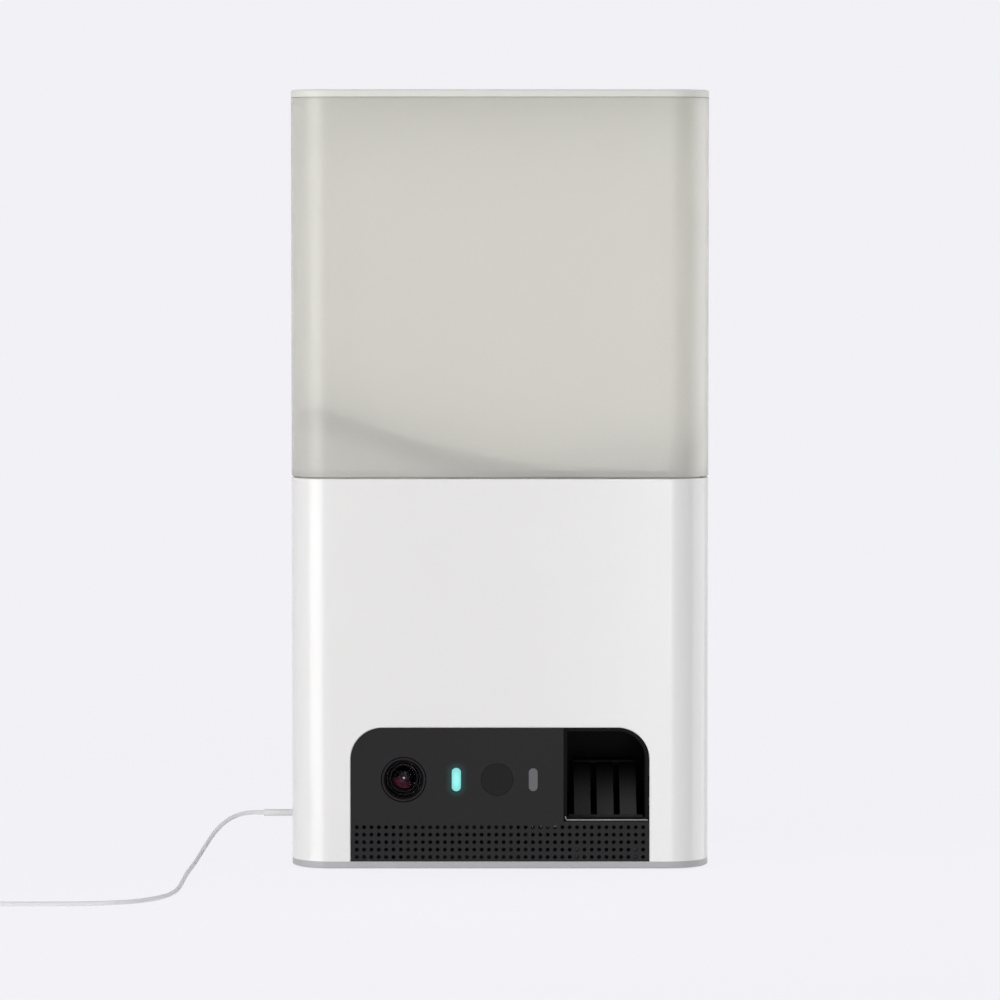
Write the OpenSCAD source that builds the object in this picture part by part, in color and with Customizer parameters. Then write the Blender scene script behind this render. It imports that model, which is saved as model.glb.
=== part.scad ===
// Treat tossing pet camera: a lift-off treat container stands on a base that holds the camera,
// a portion wheel, a drop funnel and a spring-driven throwing paddle.
// Millimetres, Z up. The front faces -Y. The origin is on the floor, under the middle of the body.

/* [Housing] */
// Width of the body
body_w = 145; // [140:1:165]
// Depth of the body, front to back
body_d = 73; // [71:1:90]
// Height of the whole product with its lid on
body_h = 270; // [240:1:320]
// Radius of the upright corners
corner_r = 14; // [11:0.5:16]
// Height of the seam between the base and the container
seam_z = 136.1; // [134:0.1:160]
// Open height of that seam
seam_gap = 0.4; // [0.3:0.1:0.8]
// Wall of the white base sleeve
sleeve_wall = 2.4; // [2:0.1:2.8]
// Thickness of the grey bottom plate
plate_t = 2.5; // [2.2:0.1:4]
// How far the rubber feet stand below the bottom plate
foot_proud = 0.5; // [0.3:0.1:1.5]
// Radius of a rubber foot
foot_r = 6; // [4:0.5:8]

/* [Container] */
// Wall of the translucent container
tub_wall = 2.2; // [1.8:0.1:3]
// Height of the lid's visible edge
lid_edge = 2.6; // [2:0.1:5]
// Depth of the lid's skirt inside the container
skirt_h = 8; // [5:0.5:14]
// Wall of the lid's skirt
skirt_t = 1.6; // [1.2:0.1:2.5]
// Depth of the container's plinth inside the base
plinth_h = 5.1; // [4:0.1:8]
// Rise of the hopper from its outlet to the left wall
ramp_rise = 19; // [14:1:34]
// Rise of the hopper from its outlet to the right wall
right_ramp_rise = 13; // [8:1:20]
// Rise of the hopper from its outlet to the front and back walls
side_rise = 4.4; // [4.2:0.1:8]
// Thickness of the hopper
ramp_t = 1.8; // [1.4:0.1:2.6]
// Width of the outlet in the container's floor
outlet_w = 24; // [20:0.5:26]
// Room in front of and behind that outlet, for the wheel's bearings and its gears
outlet_room = 10; // [9.5:0.5:14]

/* [Front window] */
// Distance of the black window from the body's side
window_side = 20.8; // [19.5:0.1:23.5]
// Height of the window's top edge
window_top = 49.5; // [48:0.5:56]
// Radius of the window's top corners
window_r = 11; // [6:0.5:14]
// Thickness of the face panel
panel_t = 2.2; // [1.8:0.1:3]
// How far the window lies behind the front of the sleeve
window_inset = 0.2; // [0.1:0.1:0.6]
// Height of the line between the speaker grille and the face panel
grille_top = 16.9; // [16.5:0.1:18]
// Thickness of the speaker grille
grille_t = 1.5; // [1:0.1:2]
// Number of grille holes along a row
grille_cols = 40; // [20:1:44]
// Number of grille rows
grille_rows = 5; // [3:1:5]
// Distance of the outer grille holes from the window's side
grille_side = 2.05; // [1.4:0.05:3]
// Spacing of the grille rows
grille_pitch_z = 2.6; // [2.2:0.1:2.8]
// Radius of a grille hole
grille_hole_r = 0.62; // [0.4:0.02:0.9]

/* [Camera and lights] */
// Height of the lens, the lights and the infrared window
eye_z = 31.5; // [30:0.5:34]
// Distance of the lens from the window's left side
lens_side = 18.3; // [14:0.1:20.5]
// Outer radius of the lens ring
lens_ring_r = 7.8; // [6:0.1:8.6]
// Wall of the lens ring
lens_ring_t = 0.85; // [0.6:0.05:1.5]
// Length of the camera barrel
barrel_len = 14; // [10:0.5:18]
// Side of the square sensor board
sensor_side = 19; // [16:0.5:22]
// Place of the status light, as a share of the way from the lens to the second light
status_share = 0.4065; // [0.36:0.0005:0.44]
// Place of the infrared window on that way
ir_share = 0.7216; // [0.7:0.0002:0.74]
// Radius of the infrared window
ir_r = 5.5; // [4:0.1:6.5]
// Distance of the second light from the chute's opening
lamp_side = 10.55; // [8:0.05:12]
// Width of a light pipe
pipe_w = 3.1; // [2:0.1:4]
// Height of a light pipe
pipe_h = 8; // [5:0.5:10]

/* [Launcher] */
// Width of the launch chute
chute_w = 29.55; // [27:0.05:30]
// Wall of the launch chute
chute_wall = 1.2; // [1:0.1:1.6]
// Height of the chute's floor above the bottom plate
chute_lift = 5; // [4:0.5:5.5]
// Depth of the chute behind the front of the body
chute_depth = 42.9; // [42:0.1:46]
// Place of the paddle's shaft, behind the front of the body
hub_depth = 11.5; // [11:0.1:13]
// Height of the paddle's shaft
hub_z = 14; // [13.5:0.1:15]
// Radius of the paddle's shaft
shaft_r = 1.5; // [1.2:0.1:2]
// Radius of the paddle's hub
hub_r = 4; // [3.2:0.1:4.4]
// Reach of the paddle's fingers from the shaft
finger_reach = 29; // [24:0.5:30]
// Number of fingers
finger_count = 3; // [2:1:4]
// Width of a finger
finger_w = 5.8; // [3:0.1:6]
// Gap between two fingers
finger_gap = 2.2; // [1.4:0.1:2.4]
// Thickness of a finger
finger_t = 1.8; // [1.2:0.1:2.2]
// Lean of the fingers from upright, at rest
rest_lean = 45; // [35:1:48]
// Wire of the throwing spring
spring_wire = 0.9; // [0.6:0.1:1]
// Turns of the throwing spring
spring_turns = 4; // [3:1:5]

/* [Gears and motors] */
// Module of all gears
gear_mod = 0.8; // [0.75:0.05:0.85]
// Thickness of a gear layer beside the chute
gear_t = 1.8; // [1.4:0.1:2]
// Teeth of the paddle gear
paddle_teeth = 16; // [15:1:17]
// Teeth of the winder
winder_teeth = 40; // [38:1:41]
// Teeth on the part of the winder that moves the paddle
sector_teeth = 26; // [24:1:30]
// Teeth of the throw motor's pinion
throw_pinion_teeth = 12; // [12:1:14]
// Direction of the winder from the paddle's shaft, above level
winder_lift = 30; // [28:1:33]
// Direction of the throw motor from the winder, above level
motor_lift = 26.6; // [25:0.2:30]
// Radius of both motors
motor_r = 6; // [5:0.1:6.2]
// Length of both motors
motor_len = 25; // [20:1:28]

/* [Portion wheel] */
// Distance of the wheel's shaft from the body's right side
rotor_side = 28.5; // [27:0.5:30]
// Radius of the wheel over its vanes
rotor_r = 15.2; // [14:0.1:15.6]
// Radius of the wheel's hub
rotor_hub_r = 4; // [3.5:0.1:6]
// Number of vanes
vane_count = 5; // [4:1:6]
// Thickness of a vane
vane_t = 2; // [1.4:0.1:3]
// Wall of the wheel's drum
drum_wall = 1.6; // [1.2:0.1:2]
// Radius of the wheel's shaft
rotor_shaft_r = 2; // [1.5:0.1:2.5]
// Teeth of the portion wheel's gear
rotor_teeth = 40; // [38:1:42]
// Teeth of the portion motor's pinion
rotor_pinion_teeth = 20; // [19:1:24]
// Thickness of the portion wheel's gear
rotor_gear_t = 2.6; // [2:0.1:2.8]

/* [Cord] */
// Outer diameter of the power cord
cord_d = 1.5; // [1.3:0.1:1.5]
// Length of the strain relief outside the wall
relief_len = 11; // [11:0.5:14]
// Diameter of the strain relief
relief_d = 2.4; // [2:0.1:4]

/* [Hidden] */
$fn = 48;

// clearances
fit = 0.1;        // between pieces that are fixed to each other
run = 0.05;       // between a shaft and its bearing
lift_gap = 0.35;  // around pieces that lift off
seat_gap = 0.2;   // under pieces that lift off
past = 1;         // how far a cut runs past a face

// housing
plate_top = foot_proud + plate_t;
front_y = -body_d / 2;
back_y = body_d / 2;
sleeve_top = seam_z - seam_gap / 2;
tub_bottom = seam_z + seam_gap / 2;
in_w = body_w - 2 * sleeve_wall;
in_d = body_d - 2 * sleeve_wall;
in_r = corner_r - sleeve_wall;
inner_front = front_y + sleeve_wall;
inner_back = back_y - sleeve_wall;
deck_top = tub_bottom - plinth_h;
deck_t = 2.4;
deck_bottom = deck_top - deck_t;
ledge_w = 1.6;
ledge_h = 2;
plate_round = 0.8;
rim_t = 1.6;
rim_h = 4;
foot_sink = 0.8;
foot_x = body_w / 2 - 22;
foot_y = body_d / 2 - 12;
screw_x = body_w / 2 - 8;
screw_y = body_d / 2 - 11.5;
boss_r = 3.2;
boss_h = 9;
web_t = 2;
screw_r = 1.25;
screw_head_r = 2.5;
screw_head_h = 1.3;
screw_len = 9;

// front window
window_w = body_w - 2 * window_side;
opening_w = window_w + 2 * fit;
opening_top = window_top + fit;
window_bevel = 0.3;
window_y = front_y + window_inset;
panel_back = inner_front;
flange_t = 1.4;
flange_w = 2;
grille_margin = 1.5;
grille_pitch_x = (window_w - 2 * grille_side) / (grille_cols - 1);
grille_back = window_y + grille_t;

// launch chute
chute_x1 = window_w / 2 - fit;
chute_x0 = chute_x1 - chute_w;
chute_mid = (chute_x0 + chute_x1) / 2;

// speaker
speaker_w = 40;
speaker_corner_r = 2;
speaker_x = chute_x0 - 16.05 - speaker_w / 2;
speaker_h = grille_top - plate_top - 0.7;
speaker_z = plate_top + speaker_h / 2;
speaker_flange = 1.2;
speaker_depth = 8;
cone_gap = 0.1;
cone_y = grille_back + 1.6;
basket_w = speaker_w - 4;
basket_h = speaker_h - 2;
basket_r = basket_h / 2 - 0.2;
basket_wall = 1;
basket_back = grille_back + speaker_depth;
basket_floor = basket_back - 2;

// camera and lights
lens_x = lens_side - window_w / 2;
lamp_x = chute_x0 - lamp_side;
status_x = lens_x + status_share * (lamp_x - lens_x);
ir_x = lens_x + ir_share * (lamp_x - lens_x);
lens_boss_t = 1.5;
lens_boss_len = 6;
ring_bevel = 0.3;
ring_cone = 0.9;
ring_step = 0.6;
glass_ledge = 1;
lens_glass_r = lens_ring_r - lens_ring_t - ring_step - run;
glass_seat = 3;
glass_dome = 2.2 * lens_glass_r;
glass_inset = 0.35;
lens_back = window_y + 5;
barrel_r = lens_ring_r - 1.3;
barrel_flange = 2;
barrel_cone = 2.4;
sensor_y = lens_back + barrel_len;
board_t = 1.4;
pipe_back = window_y + 6.4;
light_board_w = lamp_x - status_x + 2 * pipe_w;
light_board_h = 12;
light_mid = (status_x + lamp_x) / 2;
light_post_r = 1.8;
light_post_rise = 4.2;
light_screw_r = 0.9;
light_head_r = 1.6;
light_head_h = 1;

// main board, on four posts on the back wall
main_w = 56;
main_h = 66;
main_x = -22;
main_z = plate_top + 11 + main_h / 2;
post_len = 4.4;
post_r = 2.8;
main_y = inner_back - post_len - board_t;
board_inset = 4;
board_hole_r = 1.2;
board_head_r = 2.2;
board_head_h = 1.3;
// each part on the board: its left, right, bottom and top as shares of the board, and its height
connector_h = 4;
board_blocks = concat(
    [[-0.29, 0.07, 0.09, 0.39, 0.55 * connector_h], [-0.125, 0.125, -0.18, 0.03, 0.35 * connector_h]],
    [for (i = [0:2]) [0.18 + 0.07 * i, 0.225 + 0.07 * i, -0.12, -0.045, 0.3 * connector_h]],
    [for (i = [0:3]) [-0.32 + 0.18 * i, -0.21 + 0.18 * i, -0.455, -0.38, connector_h]]);

// chute's mouth and chamber
mouth_inset = 1.4;
mouth_y = window_y + mouth_inset;
chute_z0 = plate_top + chute_lift;
chute_top = window_top - fit / 2;
chute_back = front_y + chute_depth;
lip_z = grille_top + fit / 2;
lip_top = lip_z + chute_wall;
chamber_front = inner_front + 0.3;
lip_back = chamber_front + 2.6;
hub_y = front_y + hub_depth;
slope_start = hub_y + hub_r + 1.5;
slope_rise = 13.3;
chute_rib_x = 4;
case_back = chute_back + 13.6;
bearing_r = 3.5;
bearing_len = 2.6;
bearing_short = 2;
feed_wall = 1.2;
feed_x0 = chute_x0 + 3;
feed_x1 = chute_x1 - 2.6;
feed_y0 = front_y + 20.5;
feed_y1 = chute_back - 4.4;
finger_span = finger_count * finger_w + (finger_count - 1) * finger_gap;
paddle_gap = 0.7;
finger_bar_r = 0.75 * finger_t;
rib_t = 1.2;
rib_end = 0.4;
rib_reach = 0.8 * finger_reach;

// gear train beside the chute
mesh_slack = 0.12;
tooth_slack = 0.22;
tooth_over = 0.15;
shaft_past = 0.4;
gear_hub_t = 1.2;
gear_web = 3.6;
paddle_winder_dist = gear_mod * (paddle_teeth + winder_teeth) / 2 + mesh_slack;
winder_motor_dist = gear_mod * (winder_teeth + throw_pinion_teeth) / 2 + mesh_slack;
winder_y = hub_y + paddle_winder_dist * cos(winder_lift);
winder_z = hub_z + paddle_winder_dist * sin(winder_lift);
motor_y = winder_y + winder_motor_dist * cos(motor_lift);
motor_z = winder_z + winder_motor_dist * sin(motor_lift);
layer_gap = 0.4;
wheel_x = chute_x1 + bearing_len + layer_gap;
sector_x = wheel_x + gear_t + layer_gap;
gears_end = sector_x + gear_t;
cover_x = gears_end + 2 * layer_gap;
cover_t = 1.5;
cover_r = 5;
pin_r = 1.5;
pin_x0 = chute_x1 - chute_wall / 2;
motor_shaft_r = 1;
motor_nose_r = 2.4;
motor_flat = motor_r - 0.8;
motor_cap_r = motor_r - 1.6;
motor_cap_t = 1.2;
motor_ear = motor_r + 1.5;
stand_r = 2.4;
stand_places = [[hub_y - 2, hub_z + 15.5], [motor_y + 1.5, hub_z], [winder_y - 2, chute_top - 3.2]];
cover_screw_r = 1;
cover_head_r = 2;
cover_head_h = 1.2;
cover_screw_len = 6;
collar_x = chute_x0 - 10.5;
collar_t = 2.4;
collar_peg_r = 0.9;
spring_r = shaft_r + 1.4;
spring_pitch = spring_wire + 0.2;
spring_x0 = collar_x + collar_t + 0.9;
spring_leg = 4.8;
spring_peg_y = spring_r + spring_wire / 2 + collar_peg_r + fit;

// portion wheel
rotor_x = body_w / 2 - rotor_side;
outlet_d = body_d - 2 * outlet_room;
drum_gap = 0.4;
drum_r = rotor_r + drum_gap;
drum_out = drum_r + drum_wall;
rotor_z = deck_bottom - drum_out;
drum_y = outlet_d / 2 + 1.2;
drum_end_t = 1.6;
throat_half = outlet_w / 2;
drop_half = throat_half - 1;
drum_flange = 1.4;
drum_flange_w = 3;
foot_flange_w = 4;
feed_flange_w = 2.4;
drum_foot = rotor_z - drum_out;
rotor_dist = gear_mod * (rotor_teeth + rotor_pinion_teeth) / 2 + mesh_slack;
pinion_x = rotor_x - rotor_dist;
rotor_gear_y = drum_y + drum_end_t + 0.5;

// container, hopper and lid
tub_floor_t = 2.4;
left_bend = 1.8;
right_bend = 1.5;
side_bend = 2.5;
side_share = 0.3;
tub_in_w = body_w - 2 * tub_wall;
tub_in_d = body_d - 2 * tub_wall;
tub_in_r = corner_r - tub_wall;
plinth_w = in_w - 2 * lift_gap;
plinth_d = in_d - 2 * lift_gap;
plinth_r = in_r - lift_gap;
tub_floor = deck_top + seat_gap + tub_floor_t;
lid_z = body_h - lid_edge;
tub_top = lid_z - seat_gap;
lid_round = 0.9;
seam_round = 0.5;
seal_t = 0.8;
seal_h = 1.6;
skirt_in = seal_t + 0.3;

// cord, coil and plug
cord_r = cord_d / 2;
cord_step = 2.6 * cord_d;
relief_flange_r = 3;
relief_flange_t = 1.4;
wall_x = -body_w / 2;
// from the strain relief, down to the floor, forward, then left to the coil
cord_route = [[-83.5, 0, 15.7], [-88, 0, 15.7], [-92.5, -1.2, 15], [-97, -4.5, 12.9],
    [-100.6, -9, 9.6], [-103.2, -15, 6], [-105.2, -22.5, 3], [-106.6, -32, 1.2], [-107.4, -44, 0.8],
    [-107.7, -58, 0.8], [-107.8, -72, 0.8], [-108, -86, 0.8], [-109, -98, 0.8], [-112, -109, 0.8],
    [-118, -118, 0.8], [-127, -123.4, 0.8], [-138, -125.6, 0.8], [-150, -126, 0.8],
    [-162, -126, 0.8], [-174, -126, 1], [-188, -126, 1.2]];
cord_shift = [wall_x - relief_len - cord_route[0][0], 0, 0];
exit_y = cord_route[0][1];
exit_z = cord_route[0][2];
coil_start = cord_route[len(cord_route) - 1];
coil_layers = 4;
coil_turns = 22.25;
coil_pitch = cord_d + 0.43;
coil_rings = 24;
coil_out_r = 14.4;
climb_turns = 0.5;
layer_turns = coil_turns / coil_layers;
coil_center = [coil_start[0] - cord_d, coil_start[1] + coil_out_r];
coil_top = coil_start[2] + (coil_layers - 1) * coil_pitch;
coil_in_r = coil_out_r - layer_turns * coil_pitch;
tail_level = 7;
tail_len = 21;
plug_z = 3.8;
tie_t = 0.3;
tie_gap = 0.12;
tie_w = 4;
plug_grip_w = 15;
plug_grip_len = 19;
plug_grip_r = 2.2;
plug_neck_len = 9;
plug_neck_r0 = cord_r + 0.4;
plug_neck_r1 = cord_r + 1.2;
plug_shell_w = 12;
plug_shell_h = 4.5;
plug_shell_len = 12;
plug_shell_wall = 0.4;
plug_shell_back = 1;
plug_tongue_w = plug_shell_w - 2;
plug_tongue_h = 1.6;
plug_tongue_z = plug_shell_h / 2 - 1.3;

// ---- shapes that several pieces use ----

// rectangle with round corners, on the middle of the sheet
module rounded(w, d, r) {
    square([w - 2 * r, d], center = true);
    square([w, d - 2 * r], center = true);
    for (sx = [-1, 1], sy = [-1, 1])
        translate([sx * (w / 2 - r), sy * (d / 2 - r)])
            circle(r);
}

// upright block with round corners, between two heights
module slab(w, d, r, z0, z1) {
    translate([0, 0, z0])
        linear_extrude(z1 - z0)
            rounded(w, d, r);
}

// the same with its upper edge rounded; a negative edge rounds the lower one
module soft_slab(w, d, r, z0, z1, edge) {
    translate([0, 0, edge > 0 ? 0 : z0 + z1])
        mirror([0, 0, edge > 0 ? 0 : 1]) {
            for (sx = [-1, 1], sy = [-1, 1])
                translate([sx * (w / 2 - r), sy * (d / 2 - r), 0])
                    rotate_extrude()
                        intersection() {
                            soft_side(r, z0, z1, abs(edge));
                            panel(0, r, z0, z1);
                        }
            along_y(r - d / 2, d / 2 - r)
                soft_side(w / 2, z0, z1, abs(edge));
            along_x(r - w / 2, w / 2 - r)
                soft_side(d / 2, z0, z1, abs(edge));
        }
}

// side view of a slab whose two upper edges are rounded
module soft_side(half, z0, z1, edge) {
    panel(-half, half, z0, z1 - edge);
    panel(edge - half, half - edge, z0, z1);
    for (side = [-1, 1])
        translate([side * (half - edge), z1 - edge])
            circle(edge);
}

// a (Y, Z) outline, drawn out along X
module along_x(x0, x1) {
    translate([x0, 0, 0])
        rotate([90, 0, 90])
            linear_extrude(x1 - x0)
                children();
}

// an (X, Z) outline, drawn out along Y
module along_y(y0, y1) {
    translate([0, y1, 0])
        rotate([90, 0, 0])
            linear_extrude(y1 - y0)
                children();
}

module rod_x(r, x0, x1, y, z) {
    translate([x0, y, z])
        rotate([0, 90, 0])
            cylinder(r = r, h = x1 - x0);
}

module rod_y(r, y0, y1, x, z) {
    translate([x, y0, z])
        rotate([-90, 0, 0])
            cylinder(r = r, h = y1 - y0);
}

module rod_z(r, z0, z1, x, y) {
    translate([x, y, z0])
        cylinder(r = r, h = z1 - z0);
}

module box(x0, x1, y0, y1, z0, z1) {
    translate([x0, y0, z0])
        cube([x1 - x0, y1 - y0, z1 - z0]);
}

// rectangle on the sheet, given by its sides
module panel(x0, x1, y0, y1) {
    translate([x0, y0])
        square([x1 - x0, y1 - y0]);
}

// window outline: square at the bottom, round at the top corners
module arch(w, z0, z1, r) {
    panel(-w / 2, w / 2, z0, z1 - r);
    panel(r - w / 2, w / 2 - r, z0, z1);
    for (side = [-1, 1])
        translate([side * (w / 2 - r), z1 - r])
            circle(r);
}

// upright slot with round ends
module pill(w, h) {
    square([w, h - w], center = true);
    for (side = [-1, 1])
        translate([0, side * (h - w) / 2])
            circle(w / 2);
}

// involute gear outline; teeth past the last one are left out, down to the root circle
pressure_angle = 20;
function roll(a) = tan(a) * 180 / PI - a;
function pitch_r(teeth) = gear_mod * teeth / 2;
function base_r(teeth) = pitch_r(teeth) * cos(pressure_angle);
function root_r(teeth) = pitch_r(teeth) - 1.2 * gear_mod;
function tip_r(teeth) = pitch_r(teeth) + 0.9 * gear_mod;
function half_tooth(teeth, r) = (90 - tooth_slack * 180 / (PI * gear_mod)) / teeth
    + roll(pressure_angle) - roll(acos(min(1, base_r(teeth) / r)));
function polar(r, a) = [r * cos(a), r * sin(a)];
function tooth_radii(teeth) = [root_r(teeth), max(base_r(teeth), root_r(teeth)) + 0.03,
    pitch_r(teeth), (pitch_r(teeth) + tip_r(teeth)) / 2, tip_r(teeth)];
function tooth(teeth, at) = let(radii = tooth_radii(teeth), top = len(radii) - 1)
    concat([for (r = radii) polar(r, at - half_tooth(teeth, max(r, base_r(teeth))))],
        [for (k = [top:-1:0]) polar(radii[k], at + half_tooth(teeth, max(radii[k], base_r(teeth))))]);
function no_tooth(teeth, at) =
    [polar(root_r(teeth), at - 90 / teeth), polar(root_r(teeth), at + 90 / teeth)];
function gear_points(teeth, phase, cut) = [for (i = [0:teeth - 1])
    each i < cut ? tooth(teeth, phase + 360 * i / teeth) : no_tooth(teeth, phase + 360 * i / teeth)];

// phase that puts a gear in mesh with another one, which lies on the other side of the line
function mesh_phase(teeth, other, other_phase, toward) =
    toward + 180 - (other_phase - toward) * other / teeth + 180 / teeth;

// gear on the sheet, with its bore and round windows in its web
module gear(teeth, phase, bore, windows = 0, cut = 999) {
    ring = (root_r(teeth) + bore + gear_hub_t) / 2;
    difference() {
        polygon(gear_points(teeth, phase, cut));
        circle(bore);
        for (i = [0:1:windows - 1])
            rotate(360 * i / windows)
                translate([ring, 0])
                    circle((root_r(teeth) - bore) / gear_web);
    }
}

// a tube of triangles along points, with end faces square to it
function unit(v) = v / norm(v);
function heading(path, i) = unit(path[min(i + 1, len(path) - 1)] - path[max(i - 1, 0)]);
function tube_ring(path, i, r, sides, up) = let(
    ahead = heading(path, i), side = unit(cross(ahead, up)), rise = cross(side, ahead))
    [for (k = [0:sides - 1]) let(a = 360 * (k + 0.5) / sides)
        path[i] + r * (cos(a) * side + sin(a) * rise)];
module tube(path, r, sides, up = [0, 0, 1]) {
    last = len(path) - 1;
    rings = [for (i = [0:last]) each tube_ring(path, i, r, sides, up)];
    hub = (last + 1) * sides;
    walls = [for (i = [0:last - 1], k = [0:sides - 1])
        let(a = i * sides + k, b = i * sides + (k + 1) % sides)
        each [[a, b, b + sides], [a, b + sides, a + sides]]];
    caps = [for (k = [0:sides - 1])
        let(a = last * sides + k, b = last * sides + (k + 1) % sides)
        each [[(k + 1) % sides, k, hub], [a, b, hub + 1]]];
    polyhedron(concat(rings, [path[0], path[last]]), concat(walls, caps));
}

// a smooth curve through points, with a ring about every step
function spline(a, b, c, d, t) = b + t * (c - a) / 2 + t * t * (a - 2.5 * b + 2 * c - d / 2)
    + t * t * t * (1.5 * (b - c) + (d - a) / 2);
function smooth_path(points, step) = let(last = len(points) - 1) concat(
    [for (i = [0:last - 1]) let(
        before = i == 0 ? 2 * points[0] - points[1] : points[i - 1],
        after = i == last - 1 ? 2 * points[last] - points[last - 1] : points[i + 2],
        parts = max(1, round(norm(points[i + 1] - points[i]) / step)))
        each [for (k = [0:parts - 1]) spline(before, points[i], points[i + 1], after, k / parts)]],
    [points[last]]);
function path_length(path, i = 0, total = 0) = i >= len(path) - 1 ? total
    : path_length(path, i + 1, total + norm(path[i + 1] - path[i]));
function ease(t) = let(u = max(0, min(1, t))) u * u * (3 - 2 * u);

// ---- housing ----

module base_sleeve() {
    color("white")
        difference() {
            union() {
                difference() {
                    soft_slab(body_w, body_d, corner_r, plate_top, sleeve_top, seam_round);
                    slab(in_w, in_d, in_r, plate_top - past, sleeve_top + past);
                }
                difference() {
                    slab(in_w + fit, in_d + fit, in_r, deck_bottom - ledge_h, deck_bottom);
                    slab(in_w - 2 * ledge_w, in_d - 2 * ledge_w, in_r - ledge_w,
                        deck_bottom - ledge_h - past, deck_bottom + past);
                }
                for (sx = [-1, 1], sy = [-1, 1]) {
                    rod_z(boss_r, plate_top, plate_top + boss_h, sx * screw_x, sy * screw_y);
                    box(min(sx * screw_x, sx * (in_w + fit) / 2), max(sx * screw_x, sx * (in_w + fit) / 2),
                        sy * screw_y - web_t / 2, sy * screw_y + web_t / 2, plate_top, plate_top + boss_h);
                }
                for (place = board_corners())
                    rod_y(post_r, main_y + board_t, inner_back + fit, place[0], place[1]);
            }
            along_y(front_y - past, inner_front + past)
                arch(opening_w, plate_top - past, opening_top, window_r + fit);
            hull() {
                along_y(front_y - 0.01, front_y)
                    arch(opening_w + 2 * window_bevel, plate_top - past, opening_top + window_bevel,
                        window_r + fit + window_bevel);
                along_y(front_y + window_bevel, front_y + window_bevel + 0.01)
                    arch(opening_w, plate_top - past, opening_top, window_r + fit);
            }
            rod_x(relief_d / 2 + fit, wall_x - past, wall_x + sleeve_wall + past, exit_y, exit_z);
            for (sx = [-1, 1], sy = [-1, 1])
                rod_z(screw_r + run, plate_top - past, plate_top + boss_h - past,
                    sx * screw_x, sy * screw_y);
            for (place = board_corners())
                rod_y(board_hole_r + run, main_y, inner_back, place[0], place[1]);
        }
}

module base_plate() {
    color([0.67, 0.67, 0.68])
        difference() {
            union() {
                soft_slab(body_w, body_d, corner_r, foot_proud, plate_top, -plate_round);
                difference() {
                    slab(in_w - 2 * fit, in_d - 2 * fit, in_r - fit, plate_top, plate_top + rim_h);
                    slab(in_w - 2 * fit - 2 * rim_t, in_d - 2 * fit - 2 * rim_t, in_r - fit - rim_t,
                        plate_top - past, plate_top + rim_h + past);
                    window_clear = opening_w / 2 + 2 * flange_w;
                    box(-window_clear, window_clear, front_y, inner_front + 2 * rim_t,
                        plate_top, plate_top + rim_h + past);
                    for (sx = [-1, 1], sy = [-1, 1])
                        box(sx * screw_x - boss_r - 3 * web_t, sx * screw_x + boss_r + 3 * web_t,
                            sy * screw_y - web_t, sy * screw_y + web_t,
                            plate_top, plate_top + rim_h + past);
                }
                for (x = [chute_x0 + chute_rib_x, chute_x1 - chute_rib_x - web_t])
                    box(x, x + web_t, chamber_front + past, slope_start - past, plate_top, chute_z0);
            }
            for (sx = [-1, 1], sy = [-1, 1]) {
                rod_z(foot_r + fit, foot_proud - past, foot_proud + foot_sink, sx * foot_x, sy * foot_y);
                rod_z(screw_r + run, foot_proud - past, plate_top + past, sx * screw_x, sy * screw_y);
                rod_z(screw_head_r + fit, foot_proud - past, foot_proud + screw_head_h,
                    sx * screw_x, sy * screw_y);
            }
        }
}

module rubber_feet() {
    color([0.2, 0.2, 0.2])
        for (sx = [-1, 1], sy = [-1, 1])
            rod_z(foot_r, 0, foot_proud + foot_sink, sx * foot_x, sy * foot_y);
}

module base_screws() {
    color("silver")
        for (sx = [-1, 1], sy = [-1, 1]) {
            rod_z(screw_head_r, foot_proud + 0.1, foot_proud + screw_head_h, sx * screw_x, sy * screw_y);
            rod_z(screw_r, foot_proud + 0.1, foot_proud + screw_len, sx * screw_x, sy * screw_y);
        }
}

module dock_deck() {
    color([0.9, 0.9, 0.9])
        difference() {
            slab(in_w - 2 * fit, in_d - 2 * fit, in_r - fit, deck_bottom, deck_top);
            box(rotor_x - throat_half, rotor_x + throat_half, -outlet_d / 2, outlet_d / 2,
                deck_bottom - past, deck_top + past);
        }
}

// ---- front window ----

// the window's outline from one height up, left of the chute
module left_window(w, top, r, right) {
    intersection() {
        arch(w, grille_top, top, r);
        panel(-w / 2, right, grille_top, top);
    }
}

module face_panel() {
    color([0.08, 0.08, 0.08])
        difference() {
            union() {
                along_y(window_y, panel_back)
                    left_window(window_w, window_top, window_r, chute_x0 - fit / 2);
                along_y(panel_back, panel_back + flange_t)
                    left_window(window_w + 2 * flange_w, window_top + flange_w, window_r + flange_w,
                        chute_x0 - fit);
                rod_y(lens_ring_r + fit + lens_boss_t, panel_back, panel_back + lens_boss_len,
                    lens_x, eye_z);
                for (place = light_board_posts())
                    rod_y(light_post_r, panel_back, pipe_back, place[0], place[1]);
            }
            for (place = light_board_posts())
                rod_y(light_screw_r + run, panel_back + flange_t, pipe_back + past, place[0], place[1]);
            rod_y(lens_ring_r + fit, window_y - past, panel_back + lens_boss_len + past, lens_x, eye_z);
            rod_y(ir_r + fit, window_y - past, panel_back + flange_t + past, ir_x, eye_z);
            for (x = [status_x, lamp_x])
                translate([x, 0, eye_z])
                    along_y(window_y - past, panel_back + flange_t + past)
                        pill(pipe_w + 2 * fit, pipe_h + 2 * fit);
        }
}

module speaker_grille() {
    color([0.12, 0.12, 0.12])
        along_y(window_y, grille_back)
            difference() {
                panel(fit - opening_w / 2, opening_w / 2 - fit, plate_top, grille_top);
                for (i = [0:grille_cols - 1], j = [0:grille_rows - 1])
                    translate([(i - (grille_cols - 1) / 2) * grille_pitch_x,
                        plate_top + grille_margin + j * grille_pitch_z])
                        circle(grille_hole_r);
            }
}

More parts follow.
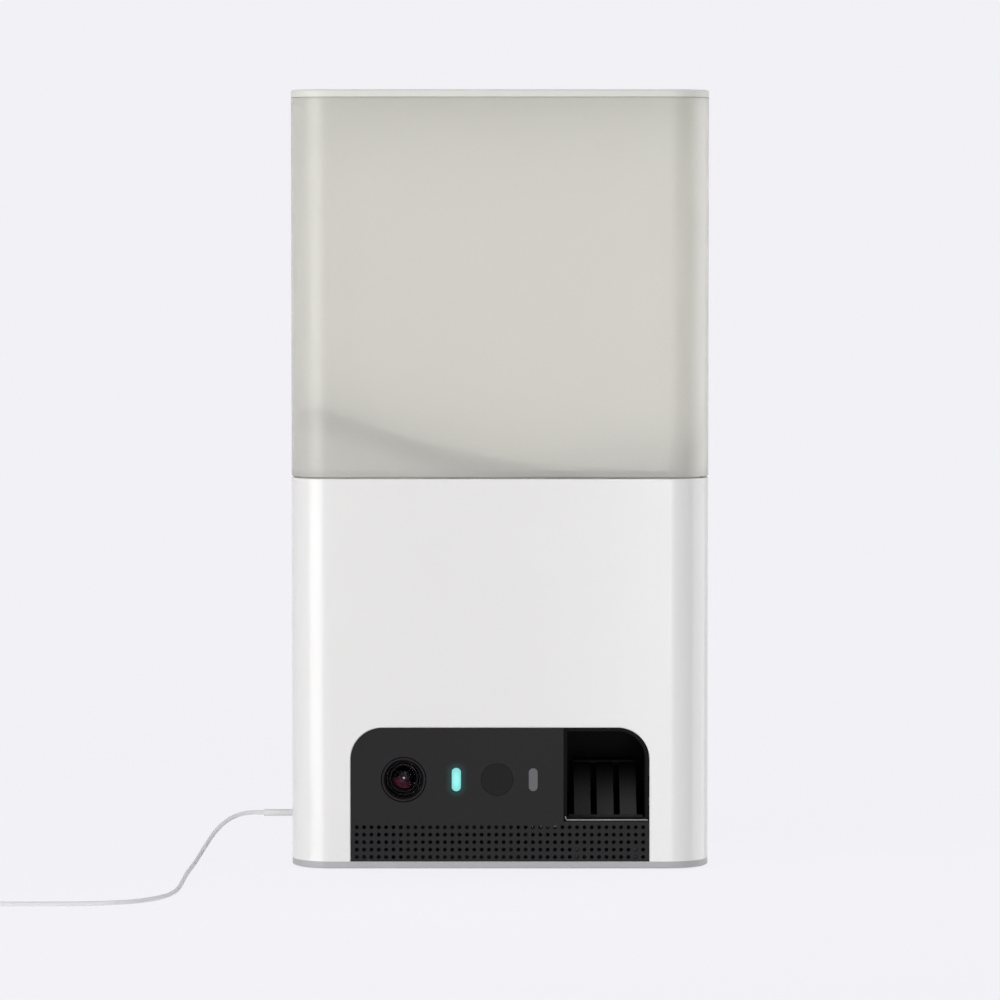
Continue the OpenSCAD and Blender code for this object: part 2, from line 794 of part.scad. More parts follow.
module speaker_frame() {
    color([0.25, 0.25, 0.27])
        difference() {
            union() {
                translate([speaker_x, 0, speaker_z])
                    along_y(grille_back, grille_back + speaker_flange)
                        rounded(speaker_w, speaker_h, speaker_corner_r);
                translate([speaker_x, 0, speaker_z])
                    along_y(grille_back + speaker_flange, basket_back)
                        rounded(basket_w, basket_h, basket_r);
            }
            translate([speaker_x, 0, speaker_z])
                along_y(grille_back - past, basket_floor)
                    basket_room(0);
        }
}

module speaker_cone() {
    color([0.15, 0.15, 0.16])
        translate([speaker_x, 0, speaker_z])
            along_y(cone_y, basket_floor)
                basket_room(cone_gap);
}

// outline of the room in the speaker's basket, drawn in by a gap
module basket_room(gap) {
    inset = basket_wall + gap;
    rounded(basket_w - 2 * inset, basket_h - 2 * inset, basket_r - inset);
}

// ring with a bevelled front edge and a conical mouth down to the glass
module lens_ring() {
    len = lens_back - window_y;
    inner = lens_ring_r - lens_ring_t;
    color([0.13, 0.13, 0.14])
        translate([lens_x, window_y, eye_z])
            rotate([-90, 0, 0])
                rotate_extrude()
                    polygon([[inner, 0], [lens_ring_r - ring_bevel, 0], [lens_ring_r, ring_bevel],
                        [lens_ring_r, len], [inner - glass_ledge, len], [inner - glass_ledge, glass_seat],
                        [inner - ring_step, glass_seat], [inner - ring_step, ring_cone]]);
}

// domed front glass
module lens_glass() {
    color([0.1, 0.08, 0.12])
        intersection() {
            rod_y(lens_glass_r, window_y, window_y + glass_seat, lens_x, eye_z);
            translate([lens_x, window_y + glass_inset + glass_dome, eye_z])
                sphere(glass_dome);
        }
}

module camera_barrel() {
    color([0.1, 0.1, 0.1])
        difference() {
            union() {
                rod_y(lens_ring_r, lens_back, lens_back + barrel_flange, lens_x, eye_z);
                rod_y(barrel_r, lens_back, sensor_y, lens_x, eye_z);
            }
            translate([lens_x, lens_back - 0.01, eye_z])
                rotate([-90, 0, 0])
                    cylinder(r1 = barrel_r - glass_ledge, r2 = barrel_r - 3 * glass_ledge, h = barrel_cone);
        }
}

module sensor_board() {
    color([0.1, 0.35, 0.2])
        box(lens_x - sensor_side / 2, lens_x + sensor_side / 2, sensor_y, sensor_y + board_t,
            eye_z - sensor_side / 2, eye_z + sensor_side / 2);
}

module light_pipe(x) {
    translate([x, 0, eye_z])
        along_y(window_y, pipe_back)
            pill(pipe_w, pipe_h);
}

module status_light_pipe() {
    color([0.5, 0.95, 0.93])
        light_pipe(status_x);
}

module second_light_pipe() {
    color([0.4, 0.4, 0.4])
        light_pipe(lamp_x);
}

module ir_window() {
    color([0.15, 0.13, 0.14])
        rod_y(ir_r, window_y, panel_back + flange_t, ir_x, eye_z);
}

// one post on each side of the infrared window, one high and one low
function light_board_posts() = [[(status_x + ir_x) / 2, eye_z + light_post_rise],
    [(ir_x + lamp_x) / 2, eye_z - light_post_rise]];

module light_board() {
    color([0.1, 0.35, 0.2])
        difference() {
            box(light_mid - light_board_w / 2, light_mid + light_board_w / 2,
                pipe_back, pipe_back + board_t, eye_z - light_board_h / 2, eye_z + light_board_h / 2);
            for (place = light_board_posts())
                rod_y(light_screw_r + run, pipe_back - past, pipe_back + board_t + past,
                    place[0], place[1]);
        }
}

function board_corners() = [for (sx = [-1, 1], sz = [-1, 1])
    [main_x + sx * (main_w / 2 - board_inset), main_z + sz * (main_h / 2 - board_inset)]];

module main_board() {
    color([0.1, 0.35, 0.2])
        difference() {
            box(main_x - main_w / 2, main_x + main_w / 2, main_y, main_y + board_t,
                main_z - main_h / 2, main_z + main_h / 2);
            for (place = board_corners())
                rod_y(board_hole_r + run, main_y - past, main_y + board_t + past, place[0], place[1]);
        }
}

// shielded radio, processor, motor drivers and the connectors along the lower edge
module board_parts() {
    color([0.75, 0.75, 0.77])
        for (block = board_blocks)
            box(main_x + block[0] * main_w, main_x + block[1] * main_w, main_y - block[4], main_y,
                main_z + block[2] * main_h, main_z + block[3] * main_h);
}

module board_screws() {
    color("silver") {
        for (place = light_board_posts()) {
            rod_y(light_head_r, pipe_back + board_t, pipe_back + board_t + light_head_h,
                place[0], place[1]);
            rod_y(light_screw_r, panel_back + flange_t + fit, pipe_back + board_t + light_head_h,
                place[0], place[1]);
        }
        for (place = board_corners()) {
            rod_y(board_head_r, main_y - board_head_h, main_y, place[0], place[1]);
            rod_y(board_hole_r, main_y - board_head_h, inner_back - past, place[0], place[1]);
        }
    }
}

// ---- launcher ----

// side view of the chute's chamber, grown outwards by the wall
module chamber_side(w) {
    polygon([[chamber_front + chute_wall - w, chute_z0 + chute_wall - w],
        [slope_start + chute_wall / 4 - w / 4, chute_z0 + chute_wall - w],
        [chute_back - chute_wall + w, chute_z0 + slope_rise + chute_wall - w],
        [chute_back - chute_wall + w, chute_top - chute_wall + w],
        [chamber_front + chute_wall - w, chute_top - chute_wall + w]]);
}

// front view of the chute's mouth, whose far top corner follows the window's corner
module mouth_front(inset) {
    r = window_r - inset;
    panel(chute_x0 + inset, chute_x1 - inset, lip_z + inset, chute_top - window_r);
    panel(chute_x0 + inset, chute_x1 - window_r, lip_z + inset, chute_top - inset);
    translate([chute_x1 - window_r, chute_top - window_r])
        circle(r);
}

module launch_chute() {
    color([0.07, 0.07, 0.07])
        difference() {
            union() {
                along_y(mouth_y, lip_back)
                    mouth_front(0);
                along_x(chute_x0, chute_x1)
                    chamber_side(chute_wall);
                // side plate that also carries the gears and the throw motor
                along_x(chute_x1 - chute_wall, chute_x1)
                    panel(chamber_front, case_back, chute_z0, chute_top);
                rod_x(bearing_r, chute_x0 - bearing_short, chute_x0 + past, hub_y, hub_z);
                rod_x(bearing_r, chute_x1 - chute_wall, chute_x1 + bearing_len, hub_y, hub_z);
                rod_x(bearing_r, chute_x1 - chute_wall, chute_x1 + bearing_len, winder_y, winder_z);
                for (place = stand_places)
                    rod_x(stand_r, chute_x1 - chute_wall, cover_x, place[0], place[1]);
                // peg that holds the spring's fixed leg
                rod_x(collar_peg_r, spring_x0 + (spring_turns - 1) * spring_pitch, chute_x0 + past,
                    hub_y + spring_peg_y, hub_z + spring_leg);
            }
            along_y(mouth_y - past, lip_back + past)
                mouth_front(chute_wall);
            along_x(chute_x0 + chute_wall, chute_x1 - chute_wall)
                chamber_side(0);
            box(feed_x0, feed_x1, feed_y0, feed_y1, chute_top - chute_wall - past, chute_top + past);
            rod_x(shaft_r + run, chute_x0 - bearing_short - past, chute_x1 + bearing_len + past,
                hub_y, hub_z);
            rod_x(pin_r + run, pin_x0, chute_x1 + bearing_len + past, winder_y, winder_z);
            rod_x(motor_nose_r + fit, chute_x1 - chute_wall - past, chute_x1 + past, motor_y, motor_z);
            for (place = stand_places)
                rod_x(cover_screw_r + run, cover_x - cover_screw_len, cover_x + past, place[0], place[1]);
        }
}

module launch_paddle() {
    left = chute_mid - finger_span / 2;
    color([0.16, 0.16, 0.17])
        translate([0, hub_y, hub_z])
            rotate([-rest_lean, 0, 0])
                difference() {
                    union() {
                        rod_x(hub_r, chute_x0 + chute_wall + paddle_gap, chute_x1 - chute_wall - paddle_gap,
                            0, 0);
                        for (i = [0:finger_count - 1])
                            translate([left + i * (finger_w + finger_gap), 0, 0])
                                finger();
                        rod_x(finger_bar_r, left, left + finger_span, 0, finger_reach);
                    }
                    rod_x(shaft_r + run / 2, chute_x0, chute_x1, 0, 0);
                }
}

// one upright finger: a tapered blade with a rib down its back
module finger() {
    along_x(0, finger_w)
        polygon([[-finger_t / 2, 0], [finger_t / 2 + rib_t / 2, 0], [finger_t / 2, finger_reach],
            [-finger_t / 2, finger_reach]]);
    along_x(finger_w / 2 - rib_t / 2, finger_w / 2 + rib_t / 2)
        polygon([[0, 0], [hub_r - rib_end, hub_r / 2], [finger_t / 2 + rib_end, rib_reach],
            [0, rib_reach]]);
}

module paddle_shaft() {
    color("silver")
        rod_x(shaft_r, collar_x - shaft_past, cover_x + cover_t + shaft_past, hub_y, hub_z);
}

// tooth 0 of the winder points at the middle of its toothed part
winder_phase = winder_lift + 180 - (sector_teeth / 2 - 0.5) * 360 / winder_teeth;

module paddle_gear() {
    color([0.92, 0.92, 0.88])
        translate([0, hub_y, hub_z])
            along_x(sector_x - tooth_over, gears_end + tooth_over)
                gear(paddle_teeth, mesh_phase(paddle_teeth, winder_teeth, winder_phase, winder_lift + 180),
                    shaft_r + run / 2);
}

module spring_collar() {
    color([0.92, 0.92, 0.88])
        difference() {
            union() {
                rod_x(hub_r, collar_x, collar_x + collar_t, hub_y, hub_z);
                along_x(collar_x, collar_x + collar_t)
                    panel(hub_y - spring_peg_y, hub_y, hub_z, hub_z + spring_leg);
                rod_x(collar_peg_r, collar_x, spring_x0 + spring_wire,
                    hub_y - spring_peg_y, hub_z + spring_leg);
            }
            rod_x(shaft_r + run / 2, collar_x - past, collar_x + collar_t + past, hub_y, hub_z);
        }
}

// torsion spring: both legs stand up, one from each end of the coil; the collar's peg pulls
// the front one back, which winds the coil tighter
module throw_spring() {
    turns = spring_turns - 0.5;
    steps = 8 * turns;
    coil = [for (i = [0:steps]) let(a = 360 * turns * i / steps)
        [spring_x0 + spring_pitch * turns * i / steps, -spring_r * cos(a), -spring_r * sin(a)]];
    first = [for (z = [spring_leg + 1, spring_leg / 2]) [spring_x0, -spring_r, z]];
    last = [for (z = [spring_leg / 2, spring_leg + 1]) [spring_x0 + spring_pitch * turns, spring_r, z]];
    color([0.75, 0.75, 0.78])
        translate([0, hub_y, hub_z])
            tube(concat(first, coil, last), spring_wire / 2, 6, [1, 0, 0]);
}

// a full wheel for the motor's pinion, with a part-toothed wheel beside it for the paddle's gear
module winder_gear() {
    color([0.93, 0.93, 0.9])
        translate([0, winder_y, winder_z]) {
            along_x(wheel_x, wheel_x + gear_t)
                gear(winder_teeth, winder_phase, pin_r + run, 6);
            along_x(sector_x, gears_end)
                gear(winder_teeth, winder_phase, pin_r + run, 6, sector_teeth);
            difference() {
                rod_x(bearing_r, wheel_x, gears_end, 0, 0);
                rod_x(pin_r + run, wheel_x - past, gears_end + past, 0, 0);
            }
        }
}

module winder_pin() {
    color("silver")
        rod_x(pin_r, pin_x0 + fit, cover_x + cover_t, winder_y, winder_z);
}

// a round can with a flat on two sides, a nose that seats in its plate and an end cap
module motor_can() {
    intersection() {
        cylinder(r = motor_r, h = motor_len);
        box(-motor_r, motor_r, -motor_flat, motor_flat, -past, motor_len + past);
    }
    translate([0, 0, -motor_cap_t])
        cylinder(r = motor_cap_r, h = motor_cap_t);
    translate([0, 0, motor_len])
        cylinder(r = motor_nose_r, h = chute_wall);
}

module throw_motor() {
    color([0.72, 0.72, 0.74])
        translate([chute_x1 - chute_wall - motor_len, motor_y, motor_z])
            rotate([0, 90, 0])
                motor_can();
}

module throw_pinion() {
    phase = mesh_phase(throw_pinion_teeth, winder_teeth, winder_phase, motor_lift);
    color("goldenrod") {
        translate([0, motor_y, motor_z])
            along_x(wheel_x - tooth_over, wheel_x + gear_t + tooth_over)
                gear(throw_pinion_teeth, phase, motor_shaft_r + run / 2);
        rod_x(motor_shaft_r + run / 2, chute_x1 + shaft_past, wheel_x + gear_t + tooth_over,
            motor_y, motor_z);
    }
}

module gear_cover() {
    middle_y = (chamber_front + case_back) / 2;
    middle_z = (chute_z0 + chute_top) / 2;
    color([0.2, 0.2, 0.21])
        difference() {
            translate([0, middle_y, middle_z])
                along_x(cover_x, cover_x + cover_t)
                    rounded(case_back - chamber_front, chute_top - chute_z0, cover_r);
            rod_x(shaft_r + run, cover_x - past, cover_x + cover_t + past, hub_y, hub_z);
            rod_x(pin_r + run, cover_x - past, cover_x + cover_t + past, winder_y, winder_z);
            for (place = stand_places)
                rod_x(cover_screw_r + run, cover_x - past, cover_x + cover_t + past, place[0], place[1]);
        }
}

module cover_screws() {
    color("silver")
        for (place = stand_places) {
            rod_x(cover_head_r, cover_x + cover_t, cover_x + cover_t + cover_head_h, place[0], place[1]);
            rod_x(cover_screw_r, cover_x + cover_t - cover_screw_len, cover_x + cover_t + cover_head_h,
                place[0], place[1]);
        }
}

// ---- portion wheel ----

module drum_shell() {
    color([0.85, 0.85, 0.86])
        translate([rotor_x, 0, 0])
            difference() {
                along_y(-drum_y, drum_y)
                    difference() {
                        union() {
                            translate([0, rotor_z])
                                circle(drum_out);
                            panel(-throat_half - drum_wall, throat_half + drum_wall, rotor_z, deck_bottom);
                            panel(-drop_half - drum_wall, drop_half + drum_wall, drum_foot, rotor_z);
                            panel(-drum_out - drum_flange_w, drum_out + drum_flange_w,
                                deck_bottom - drum_flange, deck_bottom);
                            panel(-drop_half - foot_flange_w, drop_half + foot_flange_w,
                                drum_foot, drum_foot + drum_flange);
                        }
                        translate([0, rotor_z])
                            circle(drum_r);
                    }
                box(-throat_half, throat_half, -outlet_d / 2, outlet_d / 2, rotor_z, deck_bottom + past);
                box(-drop_half, drop_half, -outlet_d / 2, outlet_d / 2, drum_foot - past, rotor_z);
            }
}

module drum_front_plate() {
    color([0.85, 0.85, 0.86])
        difference() {
            along_y(-drum_y - drum_end_t, -drum_y)
                drum_end();
            rod_y(rotor_shaft_r + run, -drum_y - drum_end_t - past, past - drum_y, rotor_x, rotor_z);
        }
}

module drum_end() {
    translate([rotor_x, rotor_z])
        circle(drum_out);
    translate([rotor_x, 0])
        panel(-throat_half - drum_wall, throat_half + drum_wall, rotor_z, deck_bottom);
}

// back end of the drum, with an ear for the portion motor
module drum_back_plate() {
    color([0.85, 0.85, 0.86])
        difference() {
            along_y(drum_y, drum_y + drum_end_t) {
                drum_end();
                translate([pinion_x, rotor_z])
                    circle(motor_ear);
                panel(pinion_x, rotor_x, rotor_z - motor_ear, rotor_z + motor_ear);
            }
            rod_y(rotor_shaft_r + run, drum_y - past, drum_y + drum_end_t + past, rotor_x, rotor_z);
            rod_y(motor_nose_r + fit, drum_y - past, drum_y + drum_end_t + past, pinion_x, rotor_z);
        }
}

module portion_rotor() {
    half = drum_y - drum_gap;
    color([0.72, 0.74, 0.76])
        translate([rotor_x, 0, rotor_z])
            difference() {
                along_y(-half, half) {
                    circle(rotor_hub_r);
                    for (i = [0:vane_count - 1])
                        rotate(90 + 180 / vane_count + 360 * i / vane_count) {
                            panel(0, rotor_r - vane_t / 2, -vane_t / 2, vane_t / 2);
                            translate([rotor_r - vane_t / 2, 0])
                                circle(vane_t / 2);
                        }
                }
                rod_y(rotor_shaft_r + run / 2, -half - past, half + past, 0, 0);
            }
}

module rotor_shaft() {
    color("silver")
        rod_y(rotor_shaft_r, -drum_y - drum_end_t - shaft_past, rotor_gear_y + rotor_gear_t + shaft_past,
            rotor_x, rotor_z);
}

module rotor_gear() {
    color([0.93, 0.93, 0.9])
        translate([rotor_x, 0, rotor_z])
            along_y(rotor_gear_y, rotor_gear_y + rotor_gear_t)
                gear(rotor_teeth, 180, rotor_shaft_r + run / 2, 6);
}

module portion_motor() {
    color([0.72, 0.72, 0.74])
        translate([pinion_x, drum_y - motor_len, rotor_z])
            rotate([-90, 0, 0])
                motor_can();
}

module portion_pinion() {
    color("goldenrod") {
        translate([pinion_x, 0, rotor_z])
            along_y(rotor_gear_y, rotor_gear_y + rotor_gear_t)
                gear(rotor_pinion_teeth, mesh_phase(rotor_pinion_teeth, rotor_teeth, 180, 180),
                    motor_shaft_r + run / 2);
        rod_y(motor_shaft_r + run / 2, drum_y + drum_end_t + fit, rotor_gear_y + rotor_gear_t,
            pinion_x, rotor_z);
    }
}

// from under the drum down to the opening in the chute's ceiling
module funnel_body(wall, reach) {
    hull() {
        box(rotor_x - drop_half - wall, rotor_x + drop_half + wall,
            -outlet_d / 2 - wall, outlet_d / 2 + wall, drum_foot - fit, drum_foot + reach);
        box(feed_x0 - wall, feed_x1 + wall, feed_y0 - wall, feed_y1 + wall,
            chute_top - reach, chute_top + fit);
    }
}

module drop_funnel() {
    color([0.8, 0.8, 0.82])
        difference() {
            union() {
                funnel_body(feed_wall, 0);
                box(rotor_x - drop_half - foot_flange_w, rotor_x + drop_half + foot_flange_w,
                    -outlet_d / 2 - feed_wall, outlet_d / 2 + feed_wall,
                    drum_foot - drum_flange, drum_foot);
                box(feed_x0 - feed_flange_w, feed_x1 + feed_flange_w,
                    feed_y0 - feed_flange_w, feed_y1 + feed_flange_w, chute_top, chute_top + drum_flange);
            }
            funnel_body(0, past);
        }
}

// ---- container and lid ----

// room inside the container, drawn in by a gap
module tub_room(gap, top) {
    slab(tub_in_w - 2 * gap, tub_in_d - 2 * gap, tub_in_r - gap, tub_bottom + tub_wall, top);
    slab(plinth_w - 2 * tub_wall - 2 * gap, plinth_d - 2 * tub_wall - 2 * gap, plinth_r - tub_wall - gap,
        tub_floor, tub_bottom + tub_wall + 0.01);
}

module treat_container() {
    color([0.82, 0.81, 0.79, 0.6])
        difference() {
            union() {
                soft_slab(body_w, body_d, corner_r, tub_bottom, tub_top, -seam_round);
                slab(plinth_w, plinth_d, plinth_r, deck_top + seat_gap, tub_bottom + past);
            }
            tub_room(0, tub_top + past);
            box(rotor_x - throat_half, rotor_x + throat_half, -outlet_d / 2, outlet_d / 2,
                deck_top - past, tub_floor + past);
        }
}

// height of the hopper's surface over its outlet: it rises to the left and right walls,
// and less steeply to the front and back
function end_rise(x) = let(left = (rotor_x - throat_half - x) / (rotor_x - throat_half + tub_in_w / 2),
    right = (x - rotor_x - throat_half) / (tub_in_w / 2 - rotor_x - throat_half))
    ramp_rise * pow(max(0, left), left_bend) + right_ramp_rise * pow(max(0, right), right_bend);
function hopper_z(x, y) = tub_floor + ramp_t + end_rise(x)
    + (side_rise + side_share * end_rise(x)) * pow(abs(y) / (tub_in_d / 2), side_bend);

// a sheet of triangles over the whole container, then cut to its walls and opened at the outlet
module hopper_ramp() {
    nx = 40;
    ny = 16;
    row = ny + 1;
    layer = (nx + 1) * row;
    grid = [for (i = [0:nx], j = [0:ny]) [(i / nx - 0.5) * body_w, (j / ny - 0.5) * body_d]];
    points = concat([for (p = grid) [p[0], p[1], hopper_z(p[0], p[1])]],
        [for (p = grid) [p[0], p[1], hopper_z(p[0], p[1]) - ramp_t]]);
    sheets = [for (i = [0:nx - 1], j = [0:ny - 1])
        let(a = i * row + j, b = a + 1, c = a + row, d = c + 1)
        each [[a, b, d], [a, d, c], [a + layer, d + layer, b + layer], [a + layer, c + layer, d + layer]]];
    rim = concat([for (j = [0:ny]) j], [for (i = [1:nx]) i * row + ny],
        [for (j = [ny - 1:-1:0]) nx * row + j], [for (i = [nx - 1:-1:1]) i * row]);
    edges = [for (k = [0:len(rim) - 1]) let(a = rim[k], b = rim[(k + 1) % len(rim)])
        each [[a, a + layer, b + layer], [a, b + layer, b]]];
    color([0.72, 0.71, 0.69, 0.8])
        difference() {
            intersection() {
                tub_room(fit, tub_top);
                polyhedron(points, concat(sheets, edges));
            }
            box(rotor_x - throat_half, rotor_x + throat_half, -outlet_d / 2, outlet_d / 2,
                deck_top, lid_z);
        }
}

module container_lid() {
    outer_w = tub_in_w - 2 * skirt_in;
    outer_d = tub_in_d - 2 * skirt_in;
    outer_r = tub_in_r - skirt_in;
    color([0.9, 0.9, 0.88]) {
        soft_slab(body_w, body_d, corner_r, lid_z, body_h, lid_round);
        difference() {
            slab(outer_w, outer_d, outer_r, lid_z - skirt_h, lid_z + fit);
            slab(outer_w - 2 * skirt_t, outer_d - 2 * skirt_t, outer_r - skirt_t,
                lid_z - skirt_h - past, lid_z);
        }
    }
}

module lid_seal() {
    outer_w = tub_in_w - 2 * skirt_in;
    outer_d = tub_in_d - 2 * skirt_in;
    outer_r = tub_in_r - skirt_in;
    bottom = lid_z - skirt_h / 2 - seal_h / 2;
    color([0.85, 0.85, 0.83])
        difference() {
            slab(outer_w + 2 * seal_t, outer_d + 2 * seal_t, outer_r + seal_t, bottom, bottom + seal_h);
            slab(outer_w, outer_d, outer_r, bottom - past, bottom + seal_h + past);
        }
}

// ---- cord ----

module strain_relief() {
    color([0.75, 0.75, 0.76]) {
        rod_x(relief_d / 2, wall_x - relief_len, wall_x + sleeve_wall + fit, exit_y, exit_z);
        rod_x(relief_flange_r, wall_x + sleeve_wall, wall_x + sleeve_wall + relief_flange_t,
            exit_y, exit_z);
    }
}

module cord_lead() {
    path = [for (p = smooth_path(cord_route, cord_step)) p + cord_shift];
    echo(lead_length_mm = path_length(path), lead_rings = len(path));
    color([0.75, 0.75, 0.76])
        tube(path, cord_r, 8);
}

// centre line of the coil: it spirals in and out by turns and climbs a layer at each reversal
function coil_point(turn) = let(
    layer = min(coil_layers - 1, floor(turn / layer_turns)),
    inward = layer % 2 == 0 ? turn - layer * layer_turns : (layer + 1) * layer_turns - turn,
    radius = coil_out_r - coil_pitch * inward,
    climbs = [for (k = [1:coil_layers - 1]) ease((turn - k * layer_turns) / climb_turns + 0.5)],
    angle = -90 - 360 * turn)
    [coil_center[0] + radius * cos(angle), coil_center[1] + radius * sin(angle),
        coil_start[2] + coil_pitch * (climbs * [1, 1, 1])];
coil_loops = [for (i = [0:coil_rings * coil_turns]) coil_point(i / coil_rings)];
// the tail leaves the top layer, then sinks to the plug beside the coil
coil_tail = [for (i = [1:10]) let(y = tail_len * i / 10)
    [coil_center[0] - coil_out_r, coil_center[1] + y,
        coil_top + (plug_z - coil_top) * ease((y - tail_level) / (tail_len - tail_level - cord_d))]];
coil_path = [for (p = concat([coil_start], coil_loops, coil_tail)) p + cord_shift];
plug_place = coil_path[len(coil_path) - 1];

module cord_coil() {
    apart = [for (i = [0:len(coil_loops) - 1], j = [i + coil_rings / 2:1:len(coil_loops) - 1])
        norm(coil_loops[i] - coil_loops[j])];
    echo(coil_length_mm = path_length(coil_path), coil_least_gap_mm = min(apart) - cord_d);
    color([0.75, 0.75, 0.76])
        tube(coil_path, cord_r, 6);
}

// band of hook tape round the whole bundle, on the far side of the coil
module coil_tie() {
    low = coil_center[1] + sqrt(pow(coil_in_r - cord_r - tie_gap, 2) - tie_w * tie_w / 4);
    high = coil_center[1] + coil_out_r + cord_r + tie_gap;
    top = coil_top + cord_r + tie_gap;
    color([0.2, 0.2, 0.2])
        translate([coil_center[0] + cord_shift[0] - tie_w / 2, 0, 0])
            along_x(0, tie_w)
                difference() {
                    panel(low - tie_t, high + tie_t, 0, top + tie_t);
                    panel(low, high, tie_t, top);
                }
}

module usb_plug_grip() {
    y0 = plug_place[1] + plug_neck_len;
    color([0.8, 0.8, 0.8])
        translate([plug_place[0], 0, plug_z]) {
            translate([0, plug_place[1], 0])
                rotate([-90, 0, 0])
                    cylinder(r1 = plug_neck_r0, r2 = plug_neck_r1, h = plug_neck_len + fit);
            along_y(y0, y0 + plug_grip_len)
                rounded(plug_grip_w, 2 * plug_z, plug_grip_r);
        }
}

module usb_plug_shell() {
    y0 = plug_place[1] + plug_neck_len + plug_grip_len;
    y1 = y0 + plug_shell_len;
    color("silver")
        translate([plug_place[0], 0, plug_z])
            difference() {
                along_y(y0, y1)
                    square([plug_shell_w, plug_shell_h], center = true);
                along_y(y0 + plug_shell_back, y1 + past)
                    difference() {
                        square([plug_shell_w - 2 * plug_shell_wall, plug_shell_h - 2 * plug_shell_wall],
                            center = true);
                        translate([0, plug_tongue_z])
                            square([plug_tongue_w, plug_tongue_h], center = true);
                    }
            }
}

base_sleeve();
base_plate();
rubber_feet();
base_screws();
face_panel();
speaker_grille();
speaker_frame();
speaker_cone();
lens_ring();
lens_glass();
camera_barrel();
sensor_board();
status_light_pipe();
second_light_pipe();
ir_window();
light_board();
main_board();
board_parts();
board_screws();
launch_chute();
launch_paddle();
paddle_shaft();
paddle_gear();
spring_collar();
throw_spring();
winder_gear();
winder_pin();
throw_motor();
throw_pinion();
gear_cover();
cover_screws();
dock_deck();
drum_shell();
drum_front_plate();
drum_back_plate();
portion_rotor();
rotor_shaft();
rotor_gear();
portion_motor();
portion_pinion();
drop_funnel();
treat_container();
hopper_ramp();
container_lid();
lid_seal();
strain_relief();
cord_lead();
cord_coil();
coil_tie();
usb_plug_grip();
usb_plug_shell();
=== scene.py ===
"""A treat tossing pet camera with its power lead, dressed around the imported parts.

Lengths are in metres. A size that is written in millimetres is multiplied by MM.
"""
import math

import bmesh
import bpy
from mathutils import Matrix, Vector
from mathutils.geometry import tessellate_polygon


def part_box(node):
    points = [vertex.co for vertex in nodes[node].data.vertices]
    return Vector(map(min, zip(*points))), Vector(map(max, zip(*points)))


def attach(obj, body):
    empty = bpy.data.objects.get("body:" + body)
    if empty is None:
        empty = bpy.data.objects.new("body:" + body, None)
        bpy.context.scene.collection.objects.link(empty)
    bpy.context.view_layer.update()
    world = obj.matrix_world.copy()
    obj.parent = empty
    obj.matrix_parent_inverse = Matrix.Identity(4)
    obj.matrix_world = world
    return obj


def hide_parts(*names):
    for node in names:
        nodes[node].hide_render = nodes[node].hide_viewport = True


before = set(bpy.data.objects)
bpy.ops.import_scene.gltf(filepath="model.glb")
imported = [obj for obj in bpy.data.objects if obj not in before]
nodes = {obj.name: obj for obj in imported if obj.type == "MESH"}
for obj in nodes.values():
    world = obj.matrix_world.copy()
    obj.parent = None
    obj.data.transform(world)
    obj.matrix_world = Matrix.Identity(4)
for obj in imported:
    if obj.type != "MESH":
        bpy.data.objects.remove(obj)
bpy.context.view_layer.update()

scene = bpy.context.scene
scene.view_settings.view_transform = "Standard"
MM = 0.001

# ---- Camera ----
# The photograph is taken from 1.7 m in front, just below the lid's height, through a long lens that
# looks down by about three degrees.
EYE = (0, -1.7265, 0.225)
TIP_DOWN = math.radians(3.266)
SENSOR_MM, LENS_MM, SEES_TO = 36, 176.5, 60
camera = bpy.data.objects.new("camera", bpy.data.cameras.new("camera"))
camera.data.sensor_width = SENSOR_MM
camera.data.lens = LENS_MM
camera.data.clip_end = SEES_TO
camera.location = EYE
camera.rotation_euler = (math.pi / 2 - TIP_DOWN, 0, 0)
scene.collection.objects.link(camera)
scene.camera = camera

# ---- Studio ----
# Seamless pale paper under and behind the object. Lens, mirrors and glass see the paper's own tone,
# while matt surfaces are lit by a dim room, a tall soft box on each side, a narrow one in front and
# a weak one overhead.
PAPER = "f2f1f6"
ROOM_STRENGTH = 0.16


def linear(hex_colour):
    """Red, green, blue and alpha of an sRGB hex colour, in Blender's linear light."""
    parts = [int(hex_colour[i:i + 2], 16) / 255 for i in (0, 2, 4)]
    return [c / 12.92 if c <= 0.04045 else ((c + 0.055) / 1.055) ** 2.4 for c in parts] + [1]


def add(tree, kind, inputs=None, **settings):
    """Adds a node. An input that is given a socket is linked to it, and any other is set."""
    made = tree.nodes.new(kind)
    for name, value in settings.items():
        setattr(made, name, value)
    for name, value in (inputs or {}).items():
        if isinstance(value, bpy.types.NodeSocket):
            tree.links.new(value, made.inputs[name])
        else:
            made.inputs[name].default_value = value
    return made


def seen_directly(tree):
    """1 for what the lens, a mirror or glass sees, and 0 for light that a matt surface gathers."""
    rays = add(tree, "ShaderNodeLightPath").outputs
    either = add(tree, "ShaderNodeMath", {0: rays["Is Camera Ray"], 1: rays["Is Glossy Ray"]},
                 operation="MAXIMUM")
    return add(tree, "ShaderNodeMath", {0: either.outputs[0], 1: rays["Is Transmission Ray"]},
               operation="MAXIMUM").outputs[0]


world = bpy.data.worlds.new("studio")
world.use_nodes = True
world.node_tree.nodes.clear()
room = add(world.node_tree, "ShaderNodeBackground", {
    "Color": linear("ffffff"), "Strength": ROOM_STRENGTH})
paper_behind = add(world.node_tree, "ShaderNodeBackground", {
    "Color": linear(PAPER), "Strength": 1})
seen = add(world.node_tree, "ShaderNodeMixShader", {
    0: seen_directly(world.node_tree), 1: room.outputs[0], 2: paper_behind.outputs[0]})
add(world.node_tree, "ShaderNodeOutputWorld", {"Surface": seen.outputs[0]})
scene.world = world


